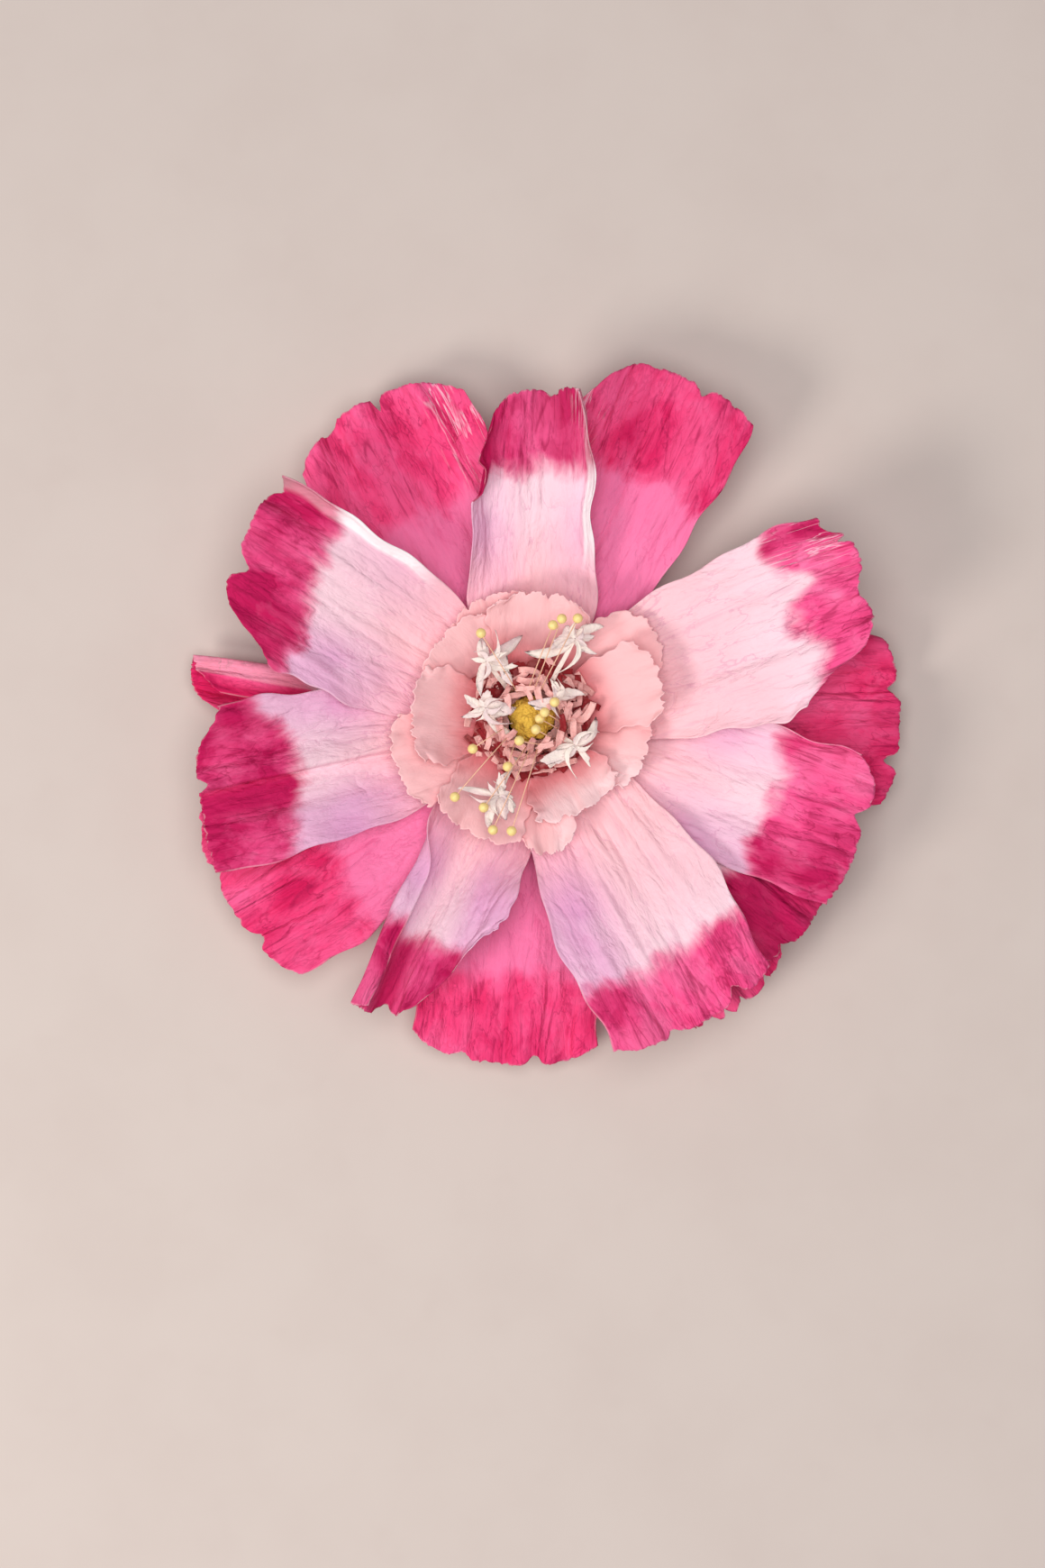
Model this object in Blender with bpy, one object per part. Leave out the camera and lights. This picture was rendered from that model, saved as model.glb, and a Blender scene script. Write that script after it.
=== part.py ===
"""Crepe paper peony: an open, stemless flower, glued up petal by petal on a round card disc.

Lengths are in metres with +Z up, and the flower faces up. The disc's underside lies on z = 0 with its
centre at the origin. Every petal has a flat tab across the middle, and the tabs are stacked with a glue
gap between them. From the stack's edge each petal follows a shallow bowl. A higher tab has a steeper bowl,
so petals pass over each other without touching. On top of the stack sit fringed paper circles, a round
pistil, white paper tufts and bead-headed stamens.
"""

import math
from dataclasses import dataclass, replace

import bmesh
import bpy
from mathutils import Vector

# Sheet and glue
PAPER = 0.0004
GLUE_GAP = 0.0003

# Card disc at the back
DISC_RADIUS = 0.040
DISC_THICKNESS = 0.002
DISC_SEGMENTS = 32

# Middle of the flower, from the axis outwards
PISTIL_RADIUS = 0.0100
PISTIL_HEIGHT = 0.010
PISTIL_SEGMENTS = 16
PISTIL_RINGS = 5
FOOT_SPACING = 0.0017
HUB_MARGIN = 0.0013
STAMEN_RING = PISTIL_RADIUS + FOOT_SPACING
TUFT_RING = STAMEN_RING + FOOT_SPACING
TOP_HUB_RADIUS = TUFT_RING + HUB_MARGIN
HUB_STEP = 0.0012
FRINGE_CIRCLES = 3
FLAT_RADIUS = TOP_HUB_RADIUS + FRINGE_CIRCLES * HUB_STEP

# Petal patterns: length from the axis, and half width
BACK_LENGTH = 0.150
BACK_HALF_WIDTH = 0.040
FRONT_LENGTH = 0.141
FRONT_HALF_WIDTH = 0.036
INNER_LENGTH = 0.055
INNER_HALF_WIDTH = 0.020

# Petal tabs and bowls
TAB_BEHIND_AXIS = 0.006
TAB_HALF_WIDTH = 0.0075
BOWL_RADIUS = 0.150
LOWEST_RISE = 0.010
RISE_STEP = 0.0026
INNER_BOWL_RADIUS = 0.070
INNER_LOWEST_RISE = 0.018
INNER_RISE_STEP = 0.0008
LARGE_ROWS = 7
LARGE_COLUMNS = 12
INNER_ROWS = 5
INNER_COLUMNS = 6
SECTION_STEPS = 16
GROWTH_FROM = 0.18
GROWTH_SPAN = 0.40
CREASE_SOFTNESS = 0.14
CORNER_CUT = 0.07
SCALLOPS = 4.5
SCALLOP_DEPTH = 0.0018

# Fringed circles
TINES = 18
TINE_HALF_WIDTH = 0.0016
TINE_TIP_HALF_WIDTH = 0.0014
TINE_RUN = 0.0072
TINE_CLIMB = 0.0045
TINE_TIP_CLIMB = 0.0030

# Stamens
THREAD_RADIUS = 0.0003
BEAD_RADIUS = 0.0021
THREAD_POINTS = 5
BEAD_POINTS = 5
THREAD_ARCH = 0.36

# White tufts
TUFT_PLATE_RADIUS = 0.0036
LIMB_HALF_WIDTH = 0.0021
LIMB_TIP_HALF_WIDTH = 0.0005
STALK_HALF_WIDTH = 0.0011

# Colours as linear red, green and blue
CARD_GREY = (0.62, 0.57, 0.50)
BLUSH = (0.93, 0.62, 0.66)
ROSE = (0.84, 0.15, 0.33)
MAGENTA = (0.74, 0.035, 0.16)
PEACH = (0.92, 0.48, 0.46)
DUSTY_PINK = (0.74, 0.27, 0.26)
MUSTARD = (0.60, 0.34, 0.035)
WHITE = (0.90, 0.84, 0.80)
LEMON = (0.87, 0.72, 0.28)


@dataclass(frozen=True)
class Pattern:
    """The pattern that a layer's petals are cut to."""

    length: float
    half_width: float


BACK = Pattern(BACK_LENGTH, BACK_HALF_WIDTH)
FRONT = Pattern(FRONT_LENGTH, FRONT_HALF_WIDTH)
INNER = Pattern(INNER_LENGTH, INNER_HALF_WIDTH)


@dataclass(frozen=True)
class Petal:
    """One petal as cut and as shaped. Angles are in degrees, and left is anticlockwise seen from above.

    level counts the tabs below this one. longer and wider tell how far the paper was stretched past its
    pattern. flare is low where the petal widens early, like a strap, and high where it widens late, like a
    fan. slant makes the left corner longer and the right one shorter. Each notch is a place across, from -1
    on the right to 1 on the left, a depth as a share of the length, and a width as a share of the half
    width. The curls turn the side edges up towards the viewer.
    """

    name: str
    level: int
    direction: float
    pattern: Pattern
    longer: float = 1.0
    wider: float = 1.0
    flare: float = 0.75
    taper: float = 0.06
    corner_drop: float = 0.10
    slant: float = 0.0
    notches: tuple = ()
    scallops: float = 0.0
    scallop_phase: float = 0.0
    ruffle: float = 18.0
    ruffle_waves: float = 3.0
    ruffle_phase: float = 0.0
    curl_left: float = 10.0
    curl_right: float = 10.0
    curl_from: float = 0.55
    curl_span: float = 0.40
    crease_at: float = 0.0
    crease: float = 0.0
    dyed_share: float = 0.70

    @property
    def reach(self):
        """Distance of the tip from the axis."""
        return self.pattern.length * self.longer

    @property
    def half_width(self):
        """Half the cut width."""
        return self.pattern.half_width * self.wider


BACK_PETALS = [
    Petal("back_petal_1", 3, 117.5, BACK, 1.00, 1.03, flare=1.05, ruffle_phase=0.4, curl_right=36,
          notches=((-0.09, 0.040, 0.05), (0.52, 0.020, 0.12)), dyed_share=0.64),
    Petal("back_petal_2", 6, 67, BACK, 1.04, 0.98, flare=1.00, corner_drop=0.05, ruffle_phase=0.7,
          curl_left=24, notches=((-0.36, 0.026, 0.09), (1.0, 0.14, 0.35)), dyed_share=0.70),
    Petal("back_petal_3", 2, 0, BACK, 1.03, 0.93, flare=1.00, corner_drop=0.05, ruffle=24,
          notches=((0.37, 0.026, 0.09), (-0.50, 0.039, 0.08)), dyed_share=0.53),
    Petal("back_petal_4", 5, -54, BACK, 0.99, 0.88, flare=1.00, ruffle_phase=2.9, ruffle=26,
          notches=((0.45, 0.025, 0.06), (0.05, 0.030, 0.05), (-0.25, 0.022, 0.04), (-0.55, 0.030, 0.05)),
          dyed_share=0.47),
    Petal("back_petal_5", 1, -95, BACK, 0.97, 1.05, flare=0.95, corner_drop=0.08, ruffle_phase=0.9,
          notches=((-0.44, 0.022, 0.08), (0.33, 0.031, 0.09)), dyed_share=0.73),
    Petal("back_petal_6", 4, 212, BACK, 0.99, 1.10, flare=0.95, corner_drop=0.07, ruffle_phase=1.7,
          notches=((-0.38, 0.027, 0.09), (0.43, 0.027, 0.09)), dyed_share=0.71),
    Petal("back_petal_7", 0, 171, BACK, 0.97, 0.48, curl_right=170, curl_from=0.10, curl_span=0.25,
          dyed_share=0.63),
]

MIDDLE_PETALS = [
    Petal("middle_petal", 7, -37, FRONT, 1.02, 1.00, flare=0.90, ruffle_phase=2.2,
          notches=((-0.40, 0.022, 0.10),), dyed_share=0.72),
]

FRONT_PETALS = [
    Petal("front_petal_1", 11, 89.5, FRONT, 0.96, 0.90, flare=0.42, taper=0.28, corner_drop=0.03,
          slant=-0.02, curl_left=62, curl_right=64, curl_from=0.60, curl_span=0.14,
          notches=((-0.3, 0.022, 0.12), (1.0, 0.09, 0.35)), dyed_share=0.75),
    Petal("front_petal_2", 14, 20.5, FRONT, 1.05, 1.08, flare=0.62, corner_drop=0.04, slant=0.03, ruffle=28,
          notches=((0.69, 0.040, 0.05), (0.05, 0.030, 0.20), (1.0, 0.06, 0.20), (-1.0, 0.20, 0.34)),
          dyed_share=0.79),
    Petal("front_petal_3", 9, -19, FRONT, 1.03, 0.97, flare=0.70, corner_drop=0.03, ruffle_phase=1.5,
          curl_left=58, curl_from=0.70, curl_span=0.20, notches=((0.14, 0.034, 0.11), (0.95, 0.048, 0.22)),
          dyed_share=0.72),
    Petal("front_petal_4", 12, -61, FRONT, 1.02, 1.08, flare=0.58, corner_drop=0.05, ruffle_phase=0.6,
          notches=((-0.31, 0.022, 0.08), (0.53, 0.042, 0.10)), dyed_share=0.78),
    Petal("front_petal_5", 8, -115, FRONT, 0.98, 0.86, flare=0.60, corner_drop=0.04, slant=-0.03,
          curl_right=66, curl_from=0.62, curl_span=0.20, crease_at=-0.20, crease=28,
          notches=((-0.17, 0.030, 0.10), (1.0, 0.31, 0.56)), dyed_share=0.73),
    Petal("front_petal_6", 10, 193, FRONT, 1.00, 0.97, flare=0.62, corner_drop=0.02, slant=0.02,
          ruffle_phase=2.4, notches=((-0.09, 0.032, 0.06), (-0.95, 0.071, 0.30)), dyed_share=0.70),
    Petal("front_petal_7", 13, 149.5, FRONT, 0.985, 1.05, flare=0.60, corner_drop=0.04, slant=-0.03,
          curl_right=70, curl_from=0.80, curl_span=0.10,
          notches=((-0.79, 0.028, 0.07), (0.19, 0.049, 0.11), (1.0, 0.17, 0.28)), dyed_share=0.74),
]

INNER_SHAPE = Petal("", 0, 0, INNER, flare=0.55, corner_drop=0.12, scallops=SCALLOPS, dyed_share=1.2)
INNER_PETALS = [
    replace(INNER_SHAPE, name="inner_petal_01", level=15, direction=36, longer=1.16, wider=0.85),
    replace(INNER_SHAPE, name="inner_petal_02", level=16, direction=110, scallop_phase=0.4),
    replace(INNER_SHAPE, name="inner_petal_03", level=17, direction=200, longer=1.11, scallop_phase=0.8),
    replace(INNER_SHAPE, name="inner_petal_04", level=18, direction=278, longer=1.05, wider=0.60),
    replace(INNER_SHAPE, name="inner_petal_05", level=19, direction=345, longer=0.93, scallop_phase=1.2),
    replace(INNER_SHAPE, name="inner_petal_06", level=20, direction=138, longer=0.93, scallop_phase=0.1),
    replace(INNER_SHAPE, name="inner_petal_07", level=21, direction=242, scallop_phase=0.5),
    replace(INNER_SHAPE, name="inner_petal_08", level=22, direction=86, longer=0.96, wider=1.10),
    replace(INNER_SHAPE, name="inner_petal_09", level=23, direction=178, longer=0.93, wider=1.05),
    replace(INNER_SHAPE, name="inner_petal_10", level=24, direction=300, longer=0.82, scallop_phase=1.3),
    replace(INNER_SHAPE, name="inner_petal_11", level=25, direction=18, longer=1.04, wider=0.90),
]

PETAL_LEVELS = len(BACK_PETALS + MIDDLE_PETALS + FRONT_PETALS + INNER_PETALS)
LARGE_LEVELS = len(BACK_PETALS + MIDDLE_PETALS + FRONT_PETALS)


@dataclass(frozen=True)
class Stamen:
    """A stiff thread with a bead: where it stands on the hub, and where its bead ends up above the hub."""

    foot_azimuth: float
    bead_azimuth: float
    bead_radius: float
    bead_height: float = 0.023


STAMENS = [
    Stamen(119, 121, 0.0405),
    Stamen(96, 77, 0.0390),
    Stamen(84, 73, 0.0425),
    Stamen(72, 65, 0.0450),
    Stamen(10, 34, 0.0115, 0.0185),
    Stamen(-8, 22, 0.0058, 0.0185),
    Stamen(-22, -7, 0.0034, 0.0150),
    Stamen(-44, -70, 0.0052, 0.0185),
    Stamen(-66, -118, 0.0108, 0.0180),
    Stamen(200, 208, 0.0275, 0.0215),
    Stamen(236, 244, 0.0225, 0.0200),
    Stamen(218, 226, 0.0455),
    Stamen(260, 242, 0.0420),
    Stamen(268, 251, 0.0490),
    Stamen(284, 260, 0.0475),
]


@dataclass(frozen=True)
class Tuft:
    """A white paper tuft: a ragged star that arches over the fringe on its stalk.

    Its middle is given by azimuth, radius and height above the hub. Each limb is an azimuth and a length
    from the middle.
    """

    azimuth: float
    radius: float
    height: float
    limbs: tuple


TUFTS = [
    Tuft(129, 0.0300, 0.0168, ((24, 0.017), (90, 0.009), (150, 0.008), (236, 0.012), (338, 0.012))),
    Tuft(168, 0.0195, 0.0140, ((17, 0.010), (95, 0.008), (170, 0.010), (241, 0.009), (279, 0.016))),
    Tuft(61, 0.0372, 0.0172, ((0, 0.008), (50, 0.012), (120, 0.008), (171, 0.010), (298, 0.009))),
    Tuft(38, 0.0138, 0.0120, ((0, 0.008), (42, 0.010), (84, 0.007), (324, 0.006))),
    Tuft(-32, 0.0218, 0.0140, ((14, 0.014), (60, 0.008), (223, 0.015), (322, 0.010))),
    Tuft(247, 0.0350, 0.0172, ((103, 0.010), (164, 0.014), (225, 0.012), (285, 0.010), (354, 0.008))),
]


def seat_height(level):
    """Underside of the sheet that lies on `level` others, above the card disc."""
    return DISC_THICKNESS + GLUE_GAP + level * (PAPER + GLUE_GAP)


def ease(share):
    """0 to 1 with level ends."""
    share = min(max(share, 0.0), 1.0)
    return share * share * (3 - 2 * share)


def polar(azimuth, radius, height=0.0):
    """Point at an azimuth in degrees, a radius from the axis and a height."""
    turn = math.radians(azimuth)
    return Vector((radius * math.cos(turn), radius * math.sin(turn), height))


def bowl_height(petal, radius):
    """Height of a petal's bowl at a radius from the axis."""
    if petal.level < LARGE_LEVELS:
        rise = LOWEST_RISE + petal.level * RISE_STEP
        rim = BOWL_RADIUS
    else:
        rise = INNER_LOWEST_RISE + (petal.level - LARGE_LEVELS) * INNER_RISE_STEP
        rim = INNER_BOWL_RADIUS
    return seat_height(petal.level) + rise * ease((radius - FLAT_RADIUS) / (rim - FLAT_RADIUS))


def half_width_at(petal, along):
    """Cut half width at a share of the length outside the stack."""
    if along <= 0:
        return TAB_HALF_WIDTH
    widening = math.sin(math.pi / 2 * along**petal.flare) * (1 - petal.taper * along**4)
    return TAB_HALF_WIDTH + (petal.half_width - TAB_HALF_WIDTH) * widening


def section(petal, across, along):
    """Walks the paper's cross-section from the midrib to `across`, and gives (sideways, upwards)."""
    side = 1 if across >= 0 else -1
    curl = math.radians(petal.curl_left if side > 0 else petal.curl_right)
    grown = ease((along - GROWTH_FROM) / GROWTH_SPAN)
    step = abs(across) / SECTION_STEPS
    width = half_width_at(petal, along)
    sideways = upwards = 0.0
    for number in range(SECTION_STEPS):
        share = (number + 0.5) * step
        phase = petal.ruffle_waves * math.pi * side * share + petal.ruffle_phase
        wave = math.radians(petal.ruffle) * along**2 * math.cos(phase)
        past_crease = math.tanh((side * share - petal.crease_at) / CREASE_SOFTNESS)
        valley = math.radians(petal.crease) * grown * past_crease
        turn = curl * ease((share - petal.curl_from) / petal.curl_span) * grown + side * (wave + valley)
        sideways += side * math.cos(turn) * width * step
        upwards += math.sin(turn) * width * step
    return sideways, upwards


def petal_point(petal, across, lengthwise, rows):
    """Place of a petal's point: across from -1 to 1, lengthwise from 0 to 1. The first row is the tab."""
    row = lengthwise * rows
    if row <= 1:
        distance = -TAB_BEHIND_AXIS + row * (FLAT_RADIUS + TAB_BEHIND_AXIS)
        along = 0.0
    else:
        along = (row - 1) / (rows - 1)
        distance = FLAT_RADIUS + along * (petal.reach - FLAT_RADIUS)
        distance += (petal.slant * across - petal.corner_drop * abs(across) ** 3) * petal.reach * along**2
        for place, depth, width in petal.notches:
            fade = math.exp(-(((across - place) / width) ** 2))
            distance -= depth * petal.reach * fade * along ** (2 if depth > CORNER_CUT else 6)
        if petal.scallops:
            wave = abs(math.sin(math.pi * petal.scallops * (across + petal.scallop_phase) / 2)) ** 0.7
            distance -= SCALLOP_DEPTH * (1 - wave) * along**6
    sideways, upwards = section(petal, across, along)
    outward = polar(petal.direction, 1.0)
    place = outward * distance + polar(petal.direction + 90, 1.0) * sideways
    place.z = bowl_height(petal, place.length) + upwards
    return place


def material(name, colour, roughness=0.85):
    """A Principled material, made once for each name."""
    found = bpy.data.materials.get(name)
    if found:
        return found
    made = bpy.data.materials.new(name)
    made.use_nodes = True
    shader = made.node_tree.nodes["Principled BSDF"]
    shader.inputs["Base Color"].default_value = (*colour, 1.0)
    shader.inputs["Roughness"].default_value = roughness
    shader.inputs["Metallic"].default_value = 0.0
    made.diffuse_color = (*colour, 1.0)
    return made


def add_object(name, data, parent, *materials):
    """Links an object under the flower and gives it its materials."""
    made = bpy.data.objects.new(name, data)
    bpy.context.scene.collection.objects.link(made)
    made.parent = parent
    for used in materials:
        data.materials.append(used)
    return made


def object_from(bm, name, parent, *materials):
    """Turns a bmesh into a smooth-shaded object."""
    mesh = bpy.data.meshes.new(name)
    bm.to_mesh(mesh)
    bm.free()
    mesh.shade_smooth()
    mesh.set_sharp_from_angle(angle=math.radians(50))
    return add_object(name, mesh, parent, *materials)


def give_thickness(obj):
    """Turns a sheet into paper. The sheet is the underside, and the thickness goes up from it."""
    wall = obj.modifiers.new("paper", "SOLIDIFY")
    wall.thickness = PAPER
    wall.offset = 1.0
    wall.use_even_offset = True
    return obj


def grid_lines(petal, columns):
    """Places of a petal's grid lines across it. The line nearest to a notch is moved onto the notch."""
    places = [2 * number / columns - 1 for number in range(columns + 1)]
    for place, _, _ in petal.notches:
        nearest = min(range(1, columns), key=lambda number: abs(places[number] - place))
        if abs(place) < places[columns - 1]:
            places[nearest] = place
    return places


def make_petal(petal, rows, columns, parent, plain, dyed):
    """One petal: a grid laid out by petal_point. Faces past the dip line get the dyed paper."""
    places = grid_lines(petal, columns)
    bm = bmesh.new()
    bmesh.ops.create_grid(bm, x_segments=columns, y_segments=rows, size=1.0)
    for vertex in bm.verts:
        across = places[round((1 - vertex.co.x) / 2 * columns)]
        lengthwise = (vertex.co.y + 1) / 2
        vertex.co = petal_point(petal, across, lengthwise, rows)
    bmesh.ops.reverse_faces(bm, faces=bm.faces)
    for face in bm.faces:
        middle = face.calc_center_median()
        face.material_index = int(Vector((middle.x, middle.y)).length > petal.dyed_share * petal.reach)
    if bm.faces[:][0].normal.z < 0:
        bmesh.ops.reverse_faces(bm, faces=bm.faces)
    return give_thickness(object_from(bm, petal.name, parent, plain, dyed))


def extrude_strip(bm, edge, middle, half_width, across):
    """Extrudes a sheet's edge, lays the new edge along `across` about `middle`, and returns it."""
    old_middle = (edge.verts[0].co + edge.verts[1].co) / 2
    made = bmesh.ops.extrude_edge_only(bm, edges=[edge])["geom"]
    new_edge = next(part for part in made if isinstance(part, bmesh.types.BMEdge))
    for vertex in new_edge.verts:
        side = 1 if (vertex.co - old_middle).dot(across) > 0 else -1
        vertex.co = middle + across * (side * half_width)
    return new_edge


def make_fringe(number, parent):
    """A paper circle cut into tines that curl up. Each circle is smaller and steeper than the one below."""
    height = seat_height(PETAL_LEVELS + number)
    radius = TOP_HUB_RADIUS + (FRINGE_CIRCLES - 1 - number) * HUB_STEP
    spread = 1.0 - 0.26 * number
    bm = bmesh.new()
    bmesh.ops.create_circle(bm, cap_ends=True, segments=2 * TINES, radius=radius)
    slot = 360 / (2 * TINES)
    for vertex in bm.verts:
        azimuth = math.degrees(math.atan2(vertex.co.y, vertex.co.x)) + number * slot * 2 / 3
        vertex.co = polar(azimuth, radius, height)
    rim = sorted(bm.edges, key=lambda edge: math.atan2(*((edge.verts[0].co + edge.verts[1].co).yx)))
    for index, edge in enumerate(rim[::2]):
        middle = (edge.verts[0].co + edge.verts[1].co) / 2
        outward = Vector((middle.x, middle.y, 0.0)).normalized()
        across = Vector((-outward.y, outward.x, 0.0))
        lean = 0.85 + 0.15 * math.sin(2.4 * index + number)
        knee = middle + outward * (TINE_RUN * spread * lean) + Vector((0, 0, TINE_CLIMB * (1.8 - lean)))
        tip = knee + outward * (TINE_RUN * spread * (lean - 0.5)) + Vector((0, 0, TINE_TIP_CLIMB))
        bent = extrude_strip(bm, edge, knee, TINE_HALF_WIDTH, across)
        extrude_strip(bm, bent, tip, TINE_TIP_HALF_WIDTH, across)
    bmesh.ops.recalc_face_normals(bm, faces=bm.faces)
    hub = max(bm.faces, key=lambda face: face.calc_area())
    if hub.normal.z < 0:
        bmesh.ops.reverse_faces(bm, faces=bm.faces)
    name = ("fringe_lower", "fringe_middle", "fringe_upper")[number]
    return give_thickness(object_from(bm, name, parent, material("dusty_pink_paper", DUSTY_PINK)))


def hub_top():
    """Top face of the uppermost fringed circle."""
    return seat_height(PETAL_LEVELS + FRINGE_CIRCLES) - GLUE_GAP


def make_pistil(parent):
    """The paper-covered button in the middle, turned from a dome's outline."""
    base = hub_top() + GLUE_GAP
    bm = bmesh.new()
    outline = [bm.verts.new((0, 0, base))]
    for ring in range(PISTIL_RINGS + 1):
        turn = math.pi / 2 * ring / PISTIL_RINGS
        height = base + PISTIL_HEIGHT * math.sin(turn)
        outline.append(bm.verts.new((PISTIL_RADIUS * math.cos(turn), 0, height)))
    edges = [bm.edges.new(pair) for pair in zip(outline, outline[1:])]
    bmesh.ops.spin(
        bm, geom=outline + edges, cent=(0, 0, 0), axis=(0, 0, 1), angle=2 * math.pi,
        steps=PISTIL_SEGMENTS, use_merge=True,
    )
    bmesh.ops.remove_doubles(bm, verts=bm.verts, dist=PAPER / 40)
    bmesh.ops.recalc_face_normals(bm, faces=bm.faces)
    return object_from(bm, "pistil", parent, material("mustard_paper", MUSTARD, 0.9))


def make_stamen(number, stamen, parent):
    """A thread that climbs from the hub and arches over to its bead, as one tube of changing width."""
    foot = polar(stamen.foot_azimuth, STAMEN_RING, hub_top() + GLUE_GAP)
    bead = polar(stamen.bead_azimuth, stamen.bead_radius, hub_top() + stamen.bead_height)
    arch_height = stamen.bead_height + THREAD_ARCH * max(stamen.bead_radius - STAMEN_RING, 0.0)
    arch = foot + polar(stamen.foot_azimuth, FOOT_SPACING / 2, arch_height)
    ahead = (bead - arch).normalized()
    bead_start = bead - ahead * BEAD_RADIUS
    path = []
    for index in range(THREAD_POINTS):
        share = index / THREAD_POINTS
        place = foot * (1 - share) ** 2 + arch * (2 * share * (1 - share)) + bead_start * share**2
        path.append((place, 1.0))
    for index in range(BEAD_POINTS):
        turn = math.pi * index / (BEAD_POINTS - 1)
        thickness = max(BEAD_RADIUS * math.sin(turn), THREAD_RADIUS) / THREAD_RADIUS
        path.append((bead - ahead * (BEAD_RADIUS * math.cos(turn)), thickness))
    curve = bpy.data.curves.new(f"stamen_{number:02d}", "CURVE")
    curve.dimensions = "3D"
    curve.bevel_depth = THREAD_RADIUS
    curve.bevel_resolution = 1
    curve.use_fill_caps = True
    spline = curve.splines.new("POLY")
    spline.points.add(len(path) - 1)
    for point, (place, thickness) in zip(spline.points, path):
        point.co = (*place, 1.0)
        point.radius = thickness
    return add_object(curve.name, curve, parent, material("lemon_bead", LEMON, 0.6))


def make_tuft(number, tuft, parent):
    """A tuft: a many-sided plate whose edges run out into pointed limbs and the stalk to the hub."""
    centre = polar(tuft.azimuth, tuft.radius, hub_top() + tuft.height)
    inwards = (tuft.azimuth + 180) % 360
    limbs = sorted([*tuft.limbs, (inwards, 0.0)])
    bm = bmesh.new()
    bmesh.ops.create_circle(bm, cap_ends=True, segments=len(limbs), radius=TUFT_PLATE_RADIUS)
    ring = sorted(bm.verts, key=lambda vertex: math.atan2(vertex.co.y, vertex.co.x))
    for index, vertex in enumerate(ring):
        before, after = limbs[index - 1][0], limbs[index][0]
        corner = (before + after) / 2 if index else (before - 360 + after) / 2
        vertex.co = centre + polar(corner, TUFT_PLATE_RADIUS)
    for index, (azimuth, length) in enumerate(limbs):
        corners = {ring[index], ring[(index + 1) % len(ring)]}
        edge = next(edge for edge in bm.edges if set(edge.verts) == corners)
        away = polar(azimuth, 1.0)
        across = polar(azimuth + 90, 1.0)
        if azimuth == inwards:
            top = polar(tuft.azimuth, TUFT_RING, centre.z - STALK_HALF_WIDTH)
            foot = polar(tuft.azimuth, TUFT_RING, hub_top() + GLUE_GAP)
            bend = extrude_strip(bm, edge, top, STALK_HALF_WIDTH, across)
            extrude_strip(bm, bend, foot, STALK_HALF_WIDTH, across)
            continue
        lift = Vector((0, 0, 0.18 * length))
        halfway = (TUFT_PLATE_RADIUS + length) / 2
        half = extrude_strip(bm, edge, centre + away * halfway + lift, LIMB_HALF_WIDTH, across)
        extrude_strip(bm, half, centre + away * length + lift * 0.5, LIMB_TIP_HALF_WIDTH, across)
    bmesh.ops.recalc_face_normals(bm, faces=bm.faces)
    plate = max(bm.faces, key=lambda face: len(face.verts))
    if plate.normal.z < 0:
        bmesh.ops.reverse_faces(bm, faces=bm.faces)
    return give_thickness(object_from(bm, f"white_tuft_{number}", parent, material("white_paper", WHITE)))


def make_disc(parent):
    """The round card that the petals are glued to and that the flower rests on."""
    bm = bmesh.new()
    bmesh.ops.create_cone(
        bm, cap_ends=True, segments=DISC_SEGMENTS, radius1=DISC_RADIUS, radius2=DISC_RADIUS,
        depth=DISC_THICKNESS,
    )
    bmesh.ops.translate(bm, verts=bm.verts, vec=(0, 0, DISC_THICKNESS / 2))
    return object_from(bm, "backing_disc", parent, material("grey_card", CARD_GREY, 0.95))


def main():
    """Clears the scene and builds the flower from the back to the front."""
    for obj in list(bpy.data.objects):
        bpy.data.objects.remove(obj)
    flower = bpy.data.objects.new("peony", None)
    bpy.context.scene.collection.objects.link(flower)
    dyed = material("magenta_paper", MAGENTA)
    make_disc(flower)
    for petal in BACK_PETALS:
        make_petal(petal, LARGE_ROWS, LARGE_COLUMNS, flower, material("rose_paper", ROSE), dyed)
    for petal in MIDDLE_PETALS + FRONT_PETALS:
        make_petal(petal, LARGE_ROWS, LARGE_COLUMNS, flower, material("blush_paper", BLUSH), dyed)
    for petal in INNER_PETALS:
        make_petal(petal, INNER_ROWS, INNER_COLUMNS, flower, material("peach_paper", PEACH), dyed)
    for number in range(FRINGE_CIRCLES):
        make_fringe(number, flower)
    make_pistil(flower)
    for number, tuft in enumerate(TUFTS, start=1):
        make_tuft(number, tuft, flower)
    for number, stamen in enumerate(STAMENS, start=1):
        make_stamen(number, stamen, flower)


main()
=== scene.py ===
"""Crepe paper peony, dressed: crinkled dip-dyed petals, curled fringe, tissue tufts and bead-tipped stamens.

Every piece stands for the solid of the same name and keeps its form. Lengths are in metres.
"""

import logging
import math
from dataclasses import dataclass, field, replace
from enum import Enum

import bmesh
import bpy
import numpy as np
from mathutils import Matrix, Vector, noise


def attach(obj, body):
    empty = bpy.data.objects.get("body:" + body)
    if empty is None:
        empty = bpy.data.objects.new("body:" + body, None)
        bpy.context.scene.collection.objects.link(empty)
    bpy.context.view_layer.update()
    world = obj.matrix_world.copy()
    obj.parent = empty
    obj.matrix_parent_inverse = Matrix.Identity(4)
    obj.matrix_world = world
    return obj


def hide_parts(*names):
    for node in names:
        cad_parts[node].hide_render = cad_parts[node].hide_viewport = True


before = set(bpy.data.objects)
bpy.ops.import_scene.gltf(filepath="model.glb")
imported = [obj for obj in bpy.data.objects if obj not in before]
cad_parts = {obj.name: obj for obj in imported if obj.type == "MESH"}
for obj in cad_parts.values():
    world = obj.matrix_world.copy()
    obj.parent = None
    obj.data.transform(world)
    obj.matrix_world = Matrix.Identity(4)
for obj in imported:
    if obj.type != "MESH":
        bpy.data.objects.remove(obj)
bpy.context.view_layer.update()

Colour = tuple[float, float, float]
Waves = tuple[float, float, float]
Hills = tuple[tuple[float, float, float], ...]
log = logging.getLogger("peony")

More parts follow.
